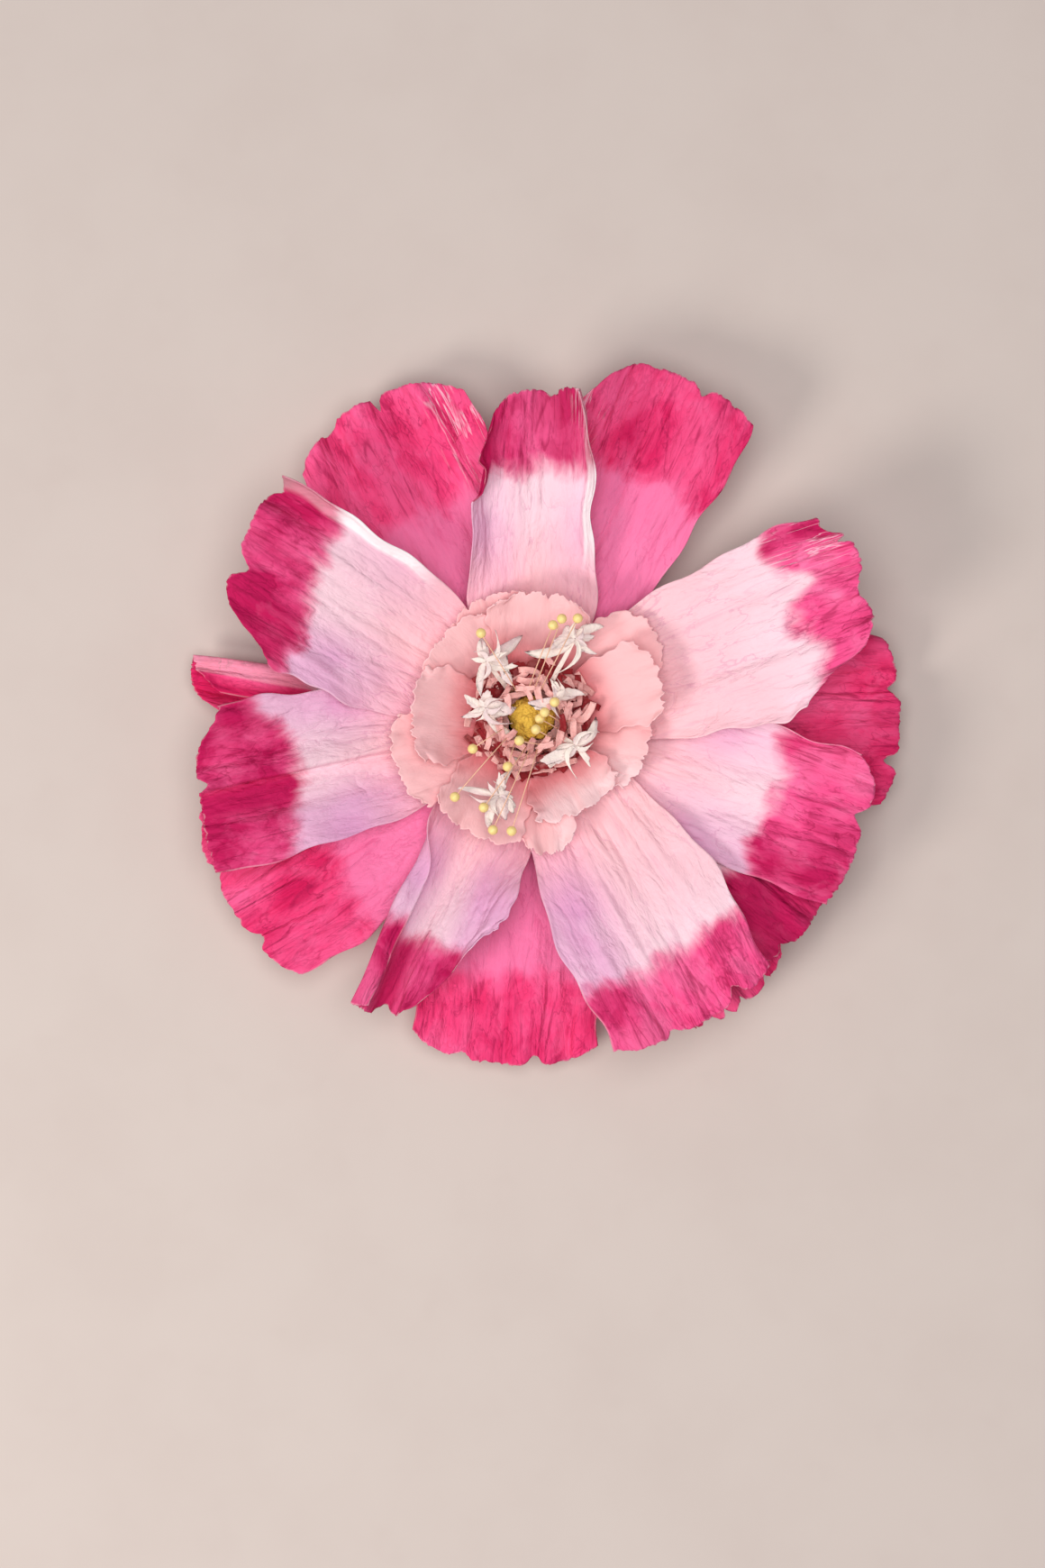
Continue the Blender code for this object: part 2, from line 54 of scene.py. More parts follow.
# Sheet and glue
PAPER = 0.0004
GLUE_GAP = 0.0003
DISC_THICKNESS = 0.002
WELD = 1e-6

# Middle of the flower
PISTIL_RADIUS = 0.0100
PISTIL_HEIGHT = 0.010
STAMEN_RING = 0.0117
TUFT_RING = 0.0134
TOP_HUB_RADIUS = 0.0147
HUB_STEP = 0.0012
FRINGE_CIRCLES = 3
FLAT_RADIUS = TOP_HUB_RADIUS + FRINGE_CIRCLES * HUB_STEP

# Petal tabs and bowls
TAB_BEHIND_AXIS = 0.006
TAB_HALF_WIDTH = 0.0075
TAB_SHARE = 0.06
BOWL_RADIUS = 0.150
LOWEST_RISE = 0.010
RISE_STEP = 0.0026
INNER_BOWL_RADIUS = 0.070
INNER_LOWEST_RISE = 0.018
INNER_RISE_STEP = 0.0008
LARGE_LEVELS = 15
PETAL_LEVELS = 26
GROWTH_FROM = 0.18
GROWTH_SPAN = 0.40
CREASE_SOFTNESS = 0.14
SCALLOP_HEIGHT = 0.0014
SHALLOW_NOTCH = 0.010
TUCK_FROM = 0.72
TUCK_TURN = 30.0
TUCK_DYE = 0.06
PLEAT_WIDTH = 0.015
PLEAT_FADE = 0.25
FOLD_WIDTH = 0.05
TYPICAL_HALF_WIDTH = 0.036
TYPICAL_REACH = 0.14
SECTION_STEPS = 24


class Slot(Enum):
    """The record's material slots."""

    BACK = "back_petal_paper"
    FRONT = "front_petal_paper"
    INNER = "inner_petal_paper"
    FRINGE = "fringe_paper"
    PISTIL = "pistil_paper"
    TUFT = "tuft_paper"
    STAMEN = "stamen_bead"


def srgb(red: int, green: int, blue: int) -> Colour:
    """Turns a screen colour into a linear one.

    Args:
        red: Red from 0 to 255.
        green: Green from 0 to 255.
        blue: Blue from 0 to 255.

    Returns:
        The colour as linear red, green and blue.
    """
    shares = [level / 255 for level in (red, green, blue)]
    return tuple(share / 12.92 if share <= 0.04045 else ((share + 0.055) / 1.055) ** 2.4 for share in shares)


def seat_height(level: int) -> float:
    """Gives the underside of the sheet that lies on `level` others."""
    return DISC_THICKNESS + GLUE_GAP + level * (PAPER + GLUE_GAP)


def hub_top() -> float:
    """Gives the top face of the uppermost fringed circle."""
    return seat_height(PETAL_LEVELS + FRINGE_CIRCLES) - GLUE_GAP


def rise(value: np.ndarray, start: float, span: float) -> np.ndarray:
    """Climbs from 0 to 1 with level ends, while the value goes from `start` over `span`."""
    share = np.clip((value - start) / span, 0.0, 1.0)
    return share * share * (3 - 2 * share)


def polar(azimuth: float, radius: float, height: float = 0.0) -> Vector:
    """Places a point by its azimuth in degrees, its radius and its height."""
    turn = math.radians(azimuth)
    return Vector((radius * math.cos(turn), radius * math.sin(turn), height))


def bells(across: np.ndarray, hills: Hills) -> np.ndarray:
    """Adds up smooth hills, each given by its place, height and width, at each place across a petal.

    Args:
        across: Place across the petal, -1 to 1.
        hills: The hills.

    Returns:
        Their height at each place.
    """
    total = np.zeros_like(across)
    for place, height, width in hills:
        total += height * np.exp(-(((across - place) / width) ** 2))
    return total


def wrinkles(first: np.ndarray, second: np.ndarray, seed: float) -> np.ndarray:
    """Samples smooth noise over a sheet.

    Args:
        first: First coordinate of each point, in waves.
        second: Second coordinate of each point, in waves.
        seed: Which pattern to take.

    Returns:
        One value per point, about -1 to 1.
    """
    return np.array([noise.noise((a, b, seed)) for a, b in zip(first.tolist(), second.tolist())])


class Signal:
    """A number in a node tree. Python's operators on it add Math nodes."""

    def __init__(self, recipe: "Recipe", socket: bpy.types.NodeSocket) -> None:
        """Keeps the tree's recipe and the socket."""
        self.recipe = recipe
        self.socket = socket

    def _math(self, operation: str, *values: "Signal | float") -> "Signal":
        """Adds one Math node and gives its result."""
        return self.recipe.node("ShaderNodeMath", {"operation": operation}, dict(enumerate(values)))

    def __add__(self, other: "Signal | float") -> "Signal":
        """Adds."""
        return self._math("ADD", self, other)

    __radd__ = __add__

    def __sub__(self, other: "Signal | float") -> "Signal":
        """Subtracts."""
        return self._math("SUBTRACT", self, other)

    def __rsub__(self, other: "Signal | float") -> "Signal":
        """Subtracts this from the other."""
        return self._math("SUBTRACT", other, self)

    def __mul__(self, other: "Signal | float") -> "Signal":
        """Multiplies."""
        return self._math("MULTIPLY", self, other)

    def __abs__(self) -> "Signal":
        """Drops the sign."""
        return self._math("ABSOLUTE", self)

    def step(self, low: float, high: float) -> "Signal":
        """Rises smoothly from 0 at `low` to 1 at `high`.

        Args:
            low: Where it starts.
            high: Where it ends.

        Returns:
            The signal that rises.
        """
        settings = {"interpolation_type": "SMOOTHSTEP"}
        values = {"Value": self, "From Min": low, "From Max": high, "To Min": 0.0, "To Max": 1.0}
        return self.recipe.node("ShaderNodeMapRange", settings, values)

    def tint(self, below: "Signal | Colour", above: "Signal | Colour") -> "Signal":
        """Mixes two colours, taking this as the share of `above`."""
        settings = {"data_type": "RGBA", "clamp_factor": True}
        return self.recipe.node("ShaderNodeMix", settings, {0: self, 6: below, 7: above}, output=2)


class Recipe:
    """The node tree of one finish."""

    def __init__(self, name: str) -> None:
        """Starts an empty material of that name.

        Args:
            name: The material's name.
        """
        self.material = bpy.data.materials.new(name)
        self.material.use_nodes = True
        self.tree = self.material.node_tree
        self.tree.nodes.clear()

    def node(
        self,
        kind: str,
        settings: dict[str, object] | None = None,
        values: dict[str | int, object] | None = None,
        output: str | int = 0,
    ) -> Signal:
        """Adds a node.

        Args:
            kind: The node's type.
            settings: Its properties, which are set first.
            values: Numbers, colours or signals for its sockets, by name or place.
            output: The output to give back, by name or place.

        Returns:
            The signal of that output.
        """
        made = self.tree.nodes.new(kind)
        for key, value in (settings or {}).items():
            setattr(made, key, value)
        for key, value in (values or {}).items():
            if isinstance(value, Signal):
                self.tree.links.new(value.socket, made.inputs[key])
            elif isinstance(value, tuple) and len(value) == 3 and made.inputs[key].type == "RGBA":
                made.inputs[key].default_value = (*value, 1.0)
            else:
                made.inputs[key].default_value = value
        return Signal(self, made.outputs[output])

    def attribute(self, name: str, output: str = "Fac") -> Signal:
        """Reads an attribute of the mesh."""
        return self.node("ShaderNodeAttribute", {"attribute_name": name}, output=output)

    def stretched(self, vector: Signal, by: Waves) -> Signal:
        """Scales a vector, each direction by its own amount."""
        return self.node("ShaderNodeVectorMath", {"operation": "MULTIPLY"}, {0: vector, 1: by})

    def creases(self, place: Signal, waves: Waves) -> Signal:
        """Gives the distance to the nearest edge of a cell pattern."""
        values = {"Vector": self.stretched(place, waves), "Scale": 1.0, "Randomness": 1.0}
        return self.node("ShaderNodeTexVoronoi", {"feature": "DISTANCE_TO_EDGE"}, values)

    def bump(self, height: Signal, distance: float, strength: float) -> Signal:
        """Turns a height pattern into a normal."""
        values = {"Height": height, "Distance": distance, "Strength": strength}
        return self.node("ShaderNodeBump", {}, values, output="Normal")

    def glow(self, colour: Colour) -> Signal:
        """Lets light through in a colour."""
        return self.node("ShaderNodeBsdfTranslucent", {}, {"Color": colour})

    def blend(self, share: "Signal | float", first: Signal, second: Signal) -> Signal:
        """Mixes two shaders, the second by its share."""
        return self.node("ShaderNodeMixShader", {}, {0: share, 1: first, 2: second})

    def finish(self, shader: Signal) -> bpy.types.Material:
        """Sends the shader to the output.

        Args:
            shader: The finished shader.

        Returns:
            The material.
        """
        output = self.tree.nodes.new("ShaderNodeOutputMaterial")
        self.tree.links.new(shader.socket, output.inputs["Surface"])
        return self.material

    def paper(self, skin: dict[str, object], glow: Signal, through: float) -> bpy.types.Material:
        """Finishes a paper that reflects by `skin` and lets a share of the light through by `glow`."""
        reflects = self.node("ShaderNodeBsdfPrincipled", {}, skin)
        return self.finish(self.blend(through, reflects, glow))


@dataclass(frozen=True)
class Pattern:
    """A noise pattern: its waves per metre along each direction, its detail and how much it winds."""

    waves: Waves
    detail: float = 3.0
    roughness: float = 0.55
    warp: float = 0.0

    def grain(self, recipe: Recipe, place: Signal) -> Signal:
        """Samples the pattern, from 0 to 1.

        Args:
            recipe: The tree that gets the pattern.
            place: Where each point lies.

        Returns:
            The pattern's signal.
        """
        values = {
            "Vector": recipe.stretched(place, self.waves), "Scale": 1.0, "Detail": self.detail,
            "Roughness": self.roughness, "Distortion": self.warp,
        }
        return recipe.node("ShaderNodeTexNoise", {"noise_dimensions": "3D"}, values)

    def ridge(self, recipe: Recipe, place: Signal) -> Signal:
        """Folds the pattern at its middle, so that sharp winding furrows run through it at 0."""
        return abs(self.grain(recipe, place) * 2 - 1)


# Patterns of crepe paper, whose fibres run along the petal
STREAKS = Pattern((330, 34, 90), 4.0, 0.6, 0.6)
PATCHES = Pattern((95, 60, 90), 4.0, 0.55, 0.5)
CLOUDS = Pattern((36, 26, 90), 2.0)
LONG_FOLDS = Pattern((112, 15, 90), 2.5, 0.5, 0.5)
SHORT_FOLDS = Pattern((230, 62, 90), 3.0, 0.5, 1.0)
VEINS = Pattern((120, 44, 140), 5.0, 0.5, 0.4)
CRINKLES = Pattern((820, 260, 90), 3.0, 0.5, 0.5)
# Lines along which painted highlights mark the crease edges
GLINT_LINES = Pattern((250, 24, 60), 3.0, 0.5, 0.8)

# Patterns of plain paper
BLOTCHES = Pattern((260, 260, 260))
FIBRES = Pattern((1900, 1900, 1900), 2.0)
FOLD_CELLS = (420, 420, 420)

# How far the patterns carry the dye's edge, in metres
FRAY_STREAKS = 0.004
FRAY_PATCHES = 0.016
FRAY_CLOUDS = 0.020
HALO_CLOUDS = 0.030
HALO_REACH = (-0.034, -0.004)
ROOT_PATCHES = 0.010
PALE_EDGE = (0.0002, 0.0008)

CUT_EDGE = srgb(255, 222, 228)
# Painted highlight on a margin that the light strikes
SUNLIT = srgb(255, 250, 252)
# Painted highlight along crease lines
CREASE_GLINT = srgb(255, 214, 230)


class CrepeSheet:
    """The patterns and the places of one sheet of crepe paper in its node tree."""

    def __init__(self, recipe: Recipe) -> None:
        """Samples every pattern once.

        Args:
            recipe: The tree that gets the patterns.
        """
        sheet = recipe.attribute("sheet", "Vector")
        self.streaks = STREAKS.grain(recipe, sheet)
        self.patches = PATCHES.grain(recipe, sheet)
        self.clouds = CLOUDS.grain(recipe, sheet)
        self.long_fold = LONG_FOLDS.ridge(recipe, sheet)
        self.short_fold = SHORT_FOLDS.ridge(recipe, sheet)
        self.vein = VEINS.ridge(recipe, sheet)
        self.crinkle = CRINKLES.ridge(recipe, sheet)
        self.glint_lines = GLINT_LINES.ridge(recipe, sheet)
        self.dip = recipe.attribute("dip")
        self.near = recipe.attribute("near")
        self.edge = recipe.attribute("edge")
        self.shaded = recipe.attribute("shade")
        self.strength = recipe.attribute("strength")
        self.bright = recipe.attribute("bright")
        self.crease_glint = recipe.attribute("crease_glint")

    def dyed(self, feather: float) -> Signal:
        """Gives 1 where the dye reached and 0 where it didn't, with a frayed edge.

        Args:
            feather: Half the width over which the dye fades.

        Returns:
            The share of dye.
        """
        frayed = self.dip + (self.streaks - 0.5) * FRAY_STREAKS
        frayed = frayed + (self.patches - 0.5) * FRAY_PATCHES + (self.clouds - 0.5) * FRAY_CLOUDS
        return frayed.step(-feather, feather)

    def height(self, dyed: Signal) -> Signal:
        """Gives the relief of the crumpled paper, which the wet dye deepened."""
        height = self.long_fold.step(0.0, 0.45) * (0.32 + dyed * 0.60) + self.vein.step(0.0, 0.25) * 0.30
        return height + self.short_fold * (0.25 + dyed * 0.30) + self.crinkle * 0.14 + self.patches * 1.1


@dataclass(frozen=True)
class CrepePaper:
    """Crepe paper, plain or dipped in dye from its outer edge. It lets some light through."""

    name: str
    plain: Colour
    # Colour of the painted shade on the halves that face away from the light; on the inner paper a lighter
    # colour, as painted light
    shade: Colour
    halo: Colour
    dyed: Colour
    # The darkest dye: laid in random patches and as painted shade
    deep: Colour
    # Darker colours along the folds and veins: painted shade, in the dyed zone partly dye gathered there
    crease: Colour
    dyed_crease: Colour
    # The lighter dye: laid in random patches, and as painted light where the strength is below 0
    glow: Colour
    # Colour towards the middle; on the inner paper it is painted shade under the fringe
    root: Colour
    root_reach: tuple[float, float]
    root_amount: float
    through: float = 0.05
    feather: float = 0.0058
    relief: float = 0.0012

    def make(self) -> bpy.types.Material:
        """Builds the material.

        Returns:
            The finished material.
        """
        recipe = Recipe(self.name)
        sheet = CrepeSheet(recipe)
        dyed = sheet.dyed(self.feather)
        colour = self._dye(sheet, dyed, self._plain(sheet))
        colour = self._fold_shade_and_dye(sheet, dyed, colour)
        skin = {
            "Base Color": self._margins(sheet, dyed, colour), "Roughness": 0.60 + sheet.patches * 0.2,
            "Metallic": 0.0, "Specular IOR Level": 0.1,
            "Normal": recipe.bump(sheet.height(dyed), self.relief, 0.9),
        }
        glow = recipe.blend(dyed, recipe.glow(self.plain), recipe.glow(self.dyed))
        return recipe.paper(skin, glow, self.through)

    def _plain(self, sheet: CrepeSheet) -> Signal:
        """Colours the paper before the dye: painted shade on the halves that face away from the light, a pale
        halo next to the dye that is weaker there, and the root.

        Args:
            sheet: The sheet's patterns.

        Returns:
            The colour.
        """
        # Painted shade on the halves that face away from the light
        colour = sheet.shaded.tint(self.plain, self.shade)
        colour = (sheet.clouds.step(0.45, 0.72) * 0.30).tint(colour, self.halo)
        washed = sheet.dip + (sheet.patches - 0.5) * FRAY_PATCHES + (sheet.clouds - 0.5) * HALO_CLOUDS
        colour = (washed.step(*HALO_REACH) * (0.75 - sheet.shaded * 0.45)).tint(colour, self.halo)
        # Towards the middle the paper turns to its root colour; on the inner paper that darker rose is
        # painted shade under the fringe
        rooted = 1 - (sheet.near + (sheet.patches - 0.5) * ROOT_PATCHES).step(*self.root_reach)
        return (rooted * self.root_amount).tint(colour, self.root)

    def _dye(self, sheet: CrepeSheet, dyed: Signal, colour: Signal) -> Signal:
        """Lays the dye over the paper, deeper and lighter in random patches, deeper as painted shade on the
        shaded halves, and by the petal's strength, partly painted shade and painted light.

        Args:
            sheet: The sheet's patterns.
            dyed: The share of dye.
            colour: The colour so far.

        Returns:
            The colour with its dye.
        """
        colour = dyed.tint(colour, self.dyed)
        deepened = sheet.clouds.step(0.44, 0.66) * 0.40 + sheet.patches.step(0.48, 0.62) * 0.35
        # Painted shade deepens the dye on the shaded halves; the strength adds the petal's own depth of dye
        # with painted shade and painted light
        deepened = deepened + sheet.shaded * 0.30 + sheet.strength
        colour = (dyed * deepened).tint(colour, self.deep)
        # Lighter dye in random patches, and more where the strength is below 0, which is painted light
        lightened = (1 - sheet.clouds.step(0.38, 0.52)) * 0.40 + (1 - sheet.patches.step(0.36, 0.48)) * 0.30
        return (dyed * lightened * (1 - sheet.strength)).tint(colour, self.glow)

    def _fold_shade_and_dye(self, sheet: CrepeSheet, dyed: Signal, colour: Signal) -> Signal:
        """Darkens the paper along its folds and veins as painted shade, in the dyed zone partly dye that
        gathered there.

        Args:
            sheet: The sheet's patterns.
            dyed: The share of dye.
            colour: The colour so far.

        Returns:
            The colour with its creases.
        """
        # Painted shade in the furrows, veins and short folds; in the dyed zone partly dye gathered in them
        crease = dyed.tint(self.crease, self.dyed_crease)
        furrow = (1 - sheet.long_fold.step(0.0, 0.05)) * sheet.patches.step(0.42, 0.56)
        colour = (furrow * (0.14 + dyed * 0.40)).tint(colour, crease)
        vein = (1 - sheet.vein.step(0.0, 0.035)) * sheet.clouds.step(0.40, 0.60)
        colour = (vein * (0.30 + dyed * 0.25)).tint(colour, crease)
        return ((1 - sheet.short_fold.step(0.0, 0.07)) * (0.02 + dyed * 0.22)).tint(colour, crease)

    def _margins(self, sheet: CrepeSheet, dyed: Signal, colour: Signal) -> Signal:
        """Lightens the cut edge, and paints a highlight on the margin that the light strikes and along crease
        lines.

        Args:
            sheet: The sheet's patterns.
            dyed: The share of dye.
            colour: The colour so far.

        Returns:
            The colour with its margins.
        """
        cut = 1 - sheet.edge.step(*PALE_EDGE)
        colour = (cut * sheet.streaks.step(0.45, 0.65) * 0.30).tint(colour, CUT_EDGE)
        # Painted highlight on the margin that the light strikes
        colour = (sheet.bright * (1 - dyed * 0.75)).tint(colour, SUNLIT)
        # Painted highlights along crease lines near the margins
        crease_glint = sheet.crease_glint * (1 - sheet.glint_lines.step(0.0, 0.07)) * sheet.patches.step(0.38, 0.52)
        return (crease_glint * 0.65).tint(colour, CREASE_GLINT)


@dataclass(frozen=True)
class PlainPaper:
    """Paper of one dye with creases, darker by painted shade along its folds and by a per-point darkness that
    is partly random and partly painted shade: fringe strips, tissue and the pistil.
    """

    name: str
    colour: Colour
    shade: Colour
    through: float
    crumple: float = 0.0005

    def make(self) -> bpy.types.Material:
        """Builds the material.

        Returns:
            The finished material.
        """
        recipe = Recipe(self.name)
        place = recipe.node("ShaderNodeTexCoord", output="Object")
        blotches = BLOTCHES.grain(recipe, place)
        folds = recipe.creases(place, FOLD_CELLS)
        fibres = FIBRES.grain(recipe, place)
        # Darker at random blotches and by a per-point attribute that holds random darkness and painted shade;
        # darker still along the fold lines, as painted shade
        darker = blotches.step(0.35, 0.70) * 0.3 + recipe.attribute("tone_and_shade") * 0.9
        colour = ((1 - folds.step(0.0, 0.06)) * 0.12).tint(darker.tint(self.colour, self.shade), self.shade)
        height = blotches * 3 + folds.step(0.0, 0.3) * 0.5 + fibres * 0.2
        skin = {
            "Base Color": colour, "Roughness": 0.75 + blotches * 0.2, "Metallic": 0.0,
            "Specular IOR Level": 0.25, "Normal": recipe.bump(height, self.crumple, 0.8),
        }
        return recipe.paper(skin, recipe.glow(self.colour), self.through)


@dataclass(frozen=True)
class Solid:
    """An opaque finish with a mottled colour and a fine grain: card, thread, bead and floor."""

    name: str
    colour: Colour
    shade: Colour
    roughness: float
    scale: float = 900.0
    relief: float = 0.0002
    coat: float = 0.0

    def make(self) -> bpy.types.Material:
        """Builds the material.

        Returns:
            The finished material.
        """
        recipe = Recipe(self.name)
        place = recipe.node("ShaderNodeTexCoord", output="Object")
        mottle = Pattern((self.scale,) * 3, 4.0).grain(recipe, place)
        speck = Pattern((self.scale * 3,) * 3, 2.0).grain(recipe, place)
        colour = (mottle.step(0.35, 0.75) * 0.7 + speck.step(0.55, 0.8) * 0.3).tint(self.colour, self.shade)
        values = {
            "Base Color": colour, "Roughness": self.roughness + mottle * 0.1, "Metallic": 0.0,
            "Coat Weight": self.coat, "Coat Roughness": 0.25,
            "Normal": recipe.bump(mottle + speck * 0.5, self.relief, 0.6),
        }
        return recipe.finish(recipe.node("ShaderNodeBsdfPrincipled", {}, values))


HOT_PINK = srgb(250, 86, 148)
CRIMSON = srgb(196, 26, 90)

BACK_PAPER = CrepePaper(
    "pink_crepe", plain=srgb(250, 134, 182), shade=srgb(226, 92, 160), halo=srgb(250, 120, 172),
    dyed=srgb(252, 78, 138), deep=srgb(222, 34, 98), crease=srgb(200, 48, 112), glow=srgb(255, 112, 166),
    dyed_crease=srgb(164, 20, 74),
    root=srgb(232, 92, 156), root_reach=(0.040, 0.070), root_amount=0.3,
)
FRONT_PAPER = CrepePaper(
    "blush_crepe", plain=srgb(255, 206, 217), shade=srgb(230, 164, 208), halo=srgb(255, 222, 234),
    dyed=HOT_PINK, deep=CRIMSON, crease=srgb(198, 108, 160), glow=srgb(254, 124, 174),
    dyed_crease=srgb(158, 16, 68),
    root=srgb(255, 200, 204), root_reach=(0.050, 0.085), root_amount=0.6,
)
# The inner paper's shade colour is lighter than its plain one: painted light on the petals that face the lamp
INNER_PAPER = CrepePaper(
    "peach_crepe", plain=srgb(255, 200, 203), shade=srgb(255, 219, 222), halo=srgb(255, 206, 209),
    dyed=srgb(255, 208, 210), deep=srgb(250, 196, 200), crease=srgb(250, 176, 184), glow=srgb(255, 218, 220),
    dyed_crease=srgb(250, 176, 184),
    # Its darker root colour is painted shade under the fringe
    root=srgb(226, 112, 118), root_reach=(0.022, 0.042), root_amount=0.9, relief=0.0005,
)
# The strips' dark colour is painted shade, for the strips that stand for shaded gaps
FRINGE_PAPER = PlainPaper("dusty_rose_strips", srgb(255, 196, 190), srgb(146, 36, 42), 0.05, crumple=0.0003)
# A near-black red hub under the strips, as painted shadow in the gaps
FRINGE_SHADOW_BED = PlainPaper("shadow_dark_bed", srgb(110, 30, 34), srgb(84, 22, 26), 0.0)
# Its shade colour is painted shade on the tufts
TISSUE = PlainPaper("white_tissue", srgb(255, 243, 232), srgb(240, 218, 218), 0.08, crumple=0.0003)
PISTIL_PAPER = PlainPaper("mustard_paper", srgb(234, 192, 78), srgb(204, 150, 56), 0.0, crumple=0.0008)
BEAD = Solid("lemon_bead", srgb(250, 228, 150), srgb(240, 212, 128), 0.42, coat=0.2)
THREAD = Solid("waxed_thread", srgb(244, 196, 164), srgb(230, 178, 146), 0.6)
CARD = Solid("grey_board", srgb(206, 198, 186), srgb(182, 172, 160), 0.85, scale=300.0)
FLOOR = Solid("pale_floor", srgb(208, 196, 189), srgb(204, 191, 184), 0.9, scale=14.0)


def add_piece(
    name: str, node: str, bm: bmesh.types.BMesh, materials: list[bpy.types.Material],
    thickness: float = 0.0,
) -> bpy.types.Object:
    """Turns a bmesh into a smooth-shaded piece that rides on the flower and stands for a solid.

    Args:
        name: The piece's name.
        node: The node whose solid it replaces.
        bm: The mesh in work, which is freed.
        materials: Its materials, by face index.
        thickness: How thick the paper gets over the sheet, or 0 for a closed form.

    Returns:
        The new object.
    """
    mesh = bpy.data.meshes.new(name)
    bm.to_mesh(mesh)
    bm.free()
    mesh.shade_smooth()
    piece = bpy.data.objects.new(name, mesh)
    bpy.context.scene.collection.objects.link(piece)
    for material in materials:
        mesh.materials.append(material)
    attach(piece, "root")
    if thickness:
        paper = piece.modifiers.new("paper", "SOLIDIFY")
        paper.thickness = thickness
        paper.offset = 1.0
    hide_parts(node)
    return piece


@dataclass(frozen=True)
class Petal:
    """One petal as cut and as shaped. Angles are in degrees, and left is anticlockwise seen from above.

    Places across run from -1 at the right margin to 1 at the left one. A hill or notch is given by its place
    across, its height or depth and its width, and a crease or pleat by its place, its height and the share of
    the length at which it starts.
    """

    name: str
    level: int
    direction: float
    reach: float
    half_width: float

    # Cut outline
    flare: float = 0.75
    taper: float = 0.06
    corner_drop: float = 0.10
    slant: float = 0.0
    edge_wave: float = 0.035
    notches: Hills = ()
    scallops: float = 0.0
    ragged: float = 0.0018
    bitten: float = 0.6

    # Shape
    ruffle: float = 18.0
    ruffle_waves: float = 3.0
    ruffle_phase: float = 0.0
    curl_left: float = 10.0
    curl_right: float = 10.0
    curl_from: float = 0.55
    curl_span: float = 0.40
    crease_at: float = 0.0
    crease: float = 0.0
    tuck: tuple[float, float] | None = None
    creases: Hills = ()
    pleats: Hills = ()
    swell: float = 0.0040
    crinkle: float = 0.0010
    frill: float = 0.0016

    # Dye, painted shade and painted highlights
    dyed_from: float = 0.100
    dye_slope: float = 0.0
    tongues: Hills = ()
    # How much deeper the dye is on this petal: partly its own dye, partly painted shade and painted light
    strength: float = 0.15
    # Hills over the dyed zone of painted shade (deeper dye) and painted light (lighter dye)
    painted_shading: Hills = ()
    # How much painted shade lies over the left and the right half (on the inner petals painted light)
    shade_left: float = 0.0
    shade_right: float = 0.0
    # Where a painted highlight lies on the right margin: where it starts across and how wide it runs
    bright_right: float = 2.0
    bright_span: float = 2.0
    # Where painted highlights along crease lines start on each margin
    crease_glint_left: float = 2.0
    crease_glint_right: float = 2.0

    rows: int = 110
    columns: int = 88

    def bowl_height(self, radius: np.ndarray) -> np.ndarray:
        """Gives the height of the petal's bowl at each radius from the axis.

        Args:
            radius: Distance of each point from the axis.

        Returns:
            The height of each point.
        """
        if self.level < LARGE_LEVELS:
            depth, rim = LOWEST_RISE + self.level * RISE_STEP, BOWL_RADIUS
        else:
            depth, rim = INNER_LOWEST_RISE + (self.level - LARGE_LEVELS) * INNER_RISE_STEP, INNER_BOWL_RADIUS
        return seat_height(self.level) + depth * rise(radius, FLAT_RADIUS, rim - FLAT_RADIUS)

    def half_width_at(self, along: np.ndarray) -> np.ndarray:
        """Gives the cut half width at each share of the length outside the stack.

        Args:
            along: Share of the length outside the stack.

        Returns:
            The half width at each share.
        """
        along = np.maximum(along, 0.0)
        widening = np.sin(np.pi / 2 * along**self.flare) * (1 - self.taper * along**4)
        bent = np.sin(along * 11 + self.level * 1.7) + 0.5 * np.sin(along * 29 + self.level * 2.9)
        wavy = 1 + self.edge_wave * bent * rise(along, 0.0, 0.4)
        return TAB_HALF_WIDTH + (self.half_width * wavy - TAB_HALF_WIDTH) * widening

    def section(self, across: np.ndarray, along: np.ndarray) -> tuple[np.ndarray, np.ndarray, np.ndarray]:
        """Walks the paper's cross-section outwards from the midrib.

        Args:
            across: Place across the petal, -1 to 1.
            along: Share of the length outside the stack.

        Returns:
            How far sideways and how far up each point lies, and how far the paper leans there.
        """
        side = np.where(across >= 0, 1.0, -1.0)
        curl = np.radians(np.where(side > 0, self.curl_left, self.curl_right))
        grown = rise(along, GROWTH_FROM, GROWTH_SPAN)
        step = np.abs(across) / SECTION_STEPS
        width = self.half_width_at(along)
        tucked = np.where(side > 0, self._tucked(along) * math.radians(TUCK_TURN), 0.0)
        sideways, upwards, turn = np.zeros_like(across), np.zeros_like(across), np.zeros_like(across)
        for number in range(SECTION_STEPS):
            share = (number + 0.5) * step
            phase = self.ruffle_waves * np.pi * side * share + self.ruffle_phase
            wave = math.radians(self.ruffle) * along**2 * np.cos(phase)
            past_crease = np.tanh((side * share - self.crease_at) / CREASE_SOFTNESS)
            valley = math.radians(self.crease) * grown * past_crease
            turn = curl * rise(share, self.curl_from, self.curl_span) * grown + side * (wave + valley)
            turn += tucked * rise(share, TUCK_FROM, 0.10)
            sideways += side * np.cos(turn) * width * step
            upwards += np.sin(turn) * width * step
        return sideways, upwards, side * turn

    def _tucked(self, along: np.ndarray) -> np.ndarray:
        """Gives 1 where the left margin is tucked over, and 0 elsewhere.

        Args:
            along: Share of the length outside the stack.

        Returns:
            How far each point is tucked over, 0 to 1.
        """
        if self.tuck is None:
            return np.zeros_like(along)
        start, end = self.tuck
        return rise(along, start, 0.05) * (1 - rise(along, end, 0.05))

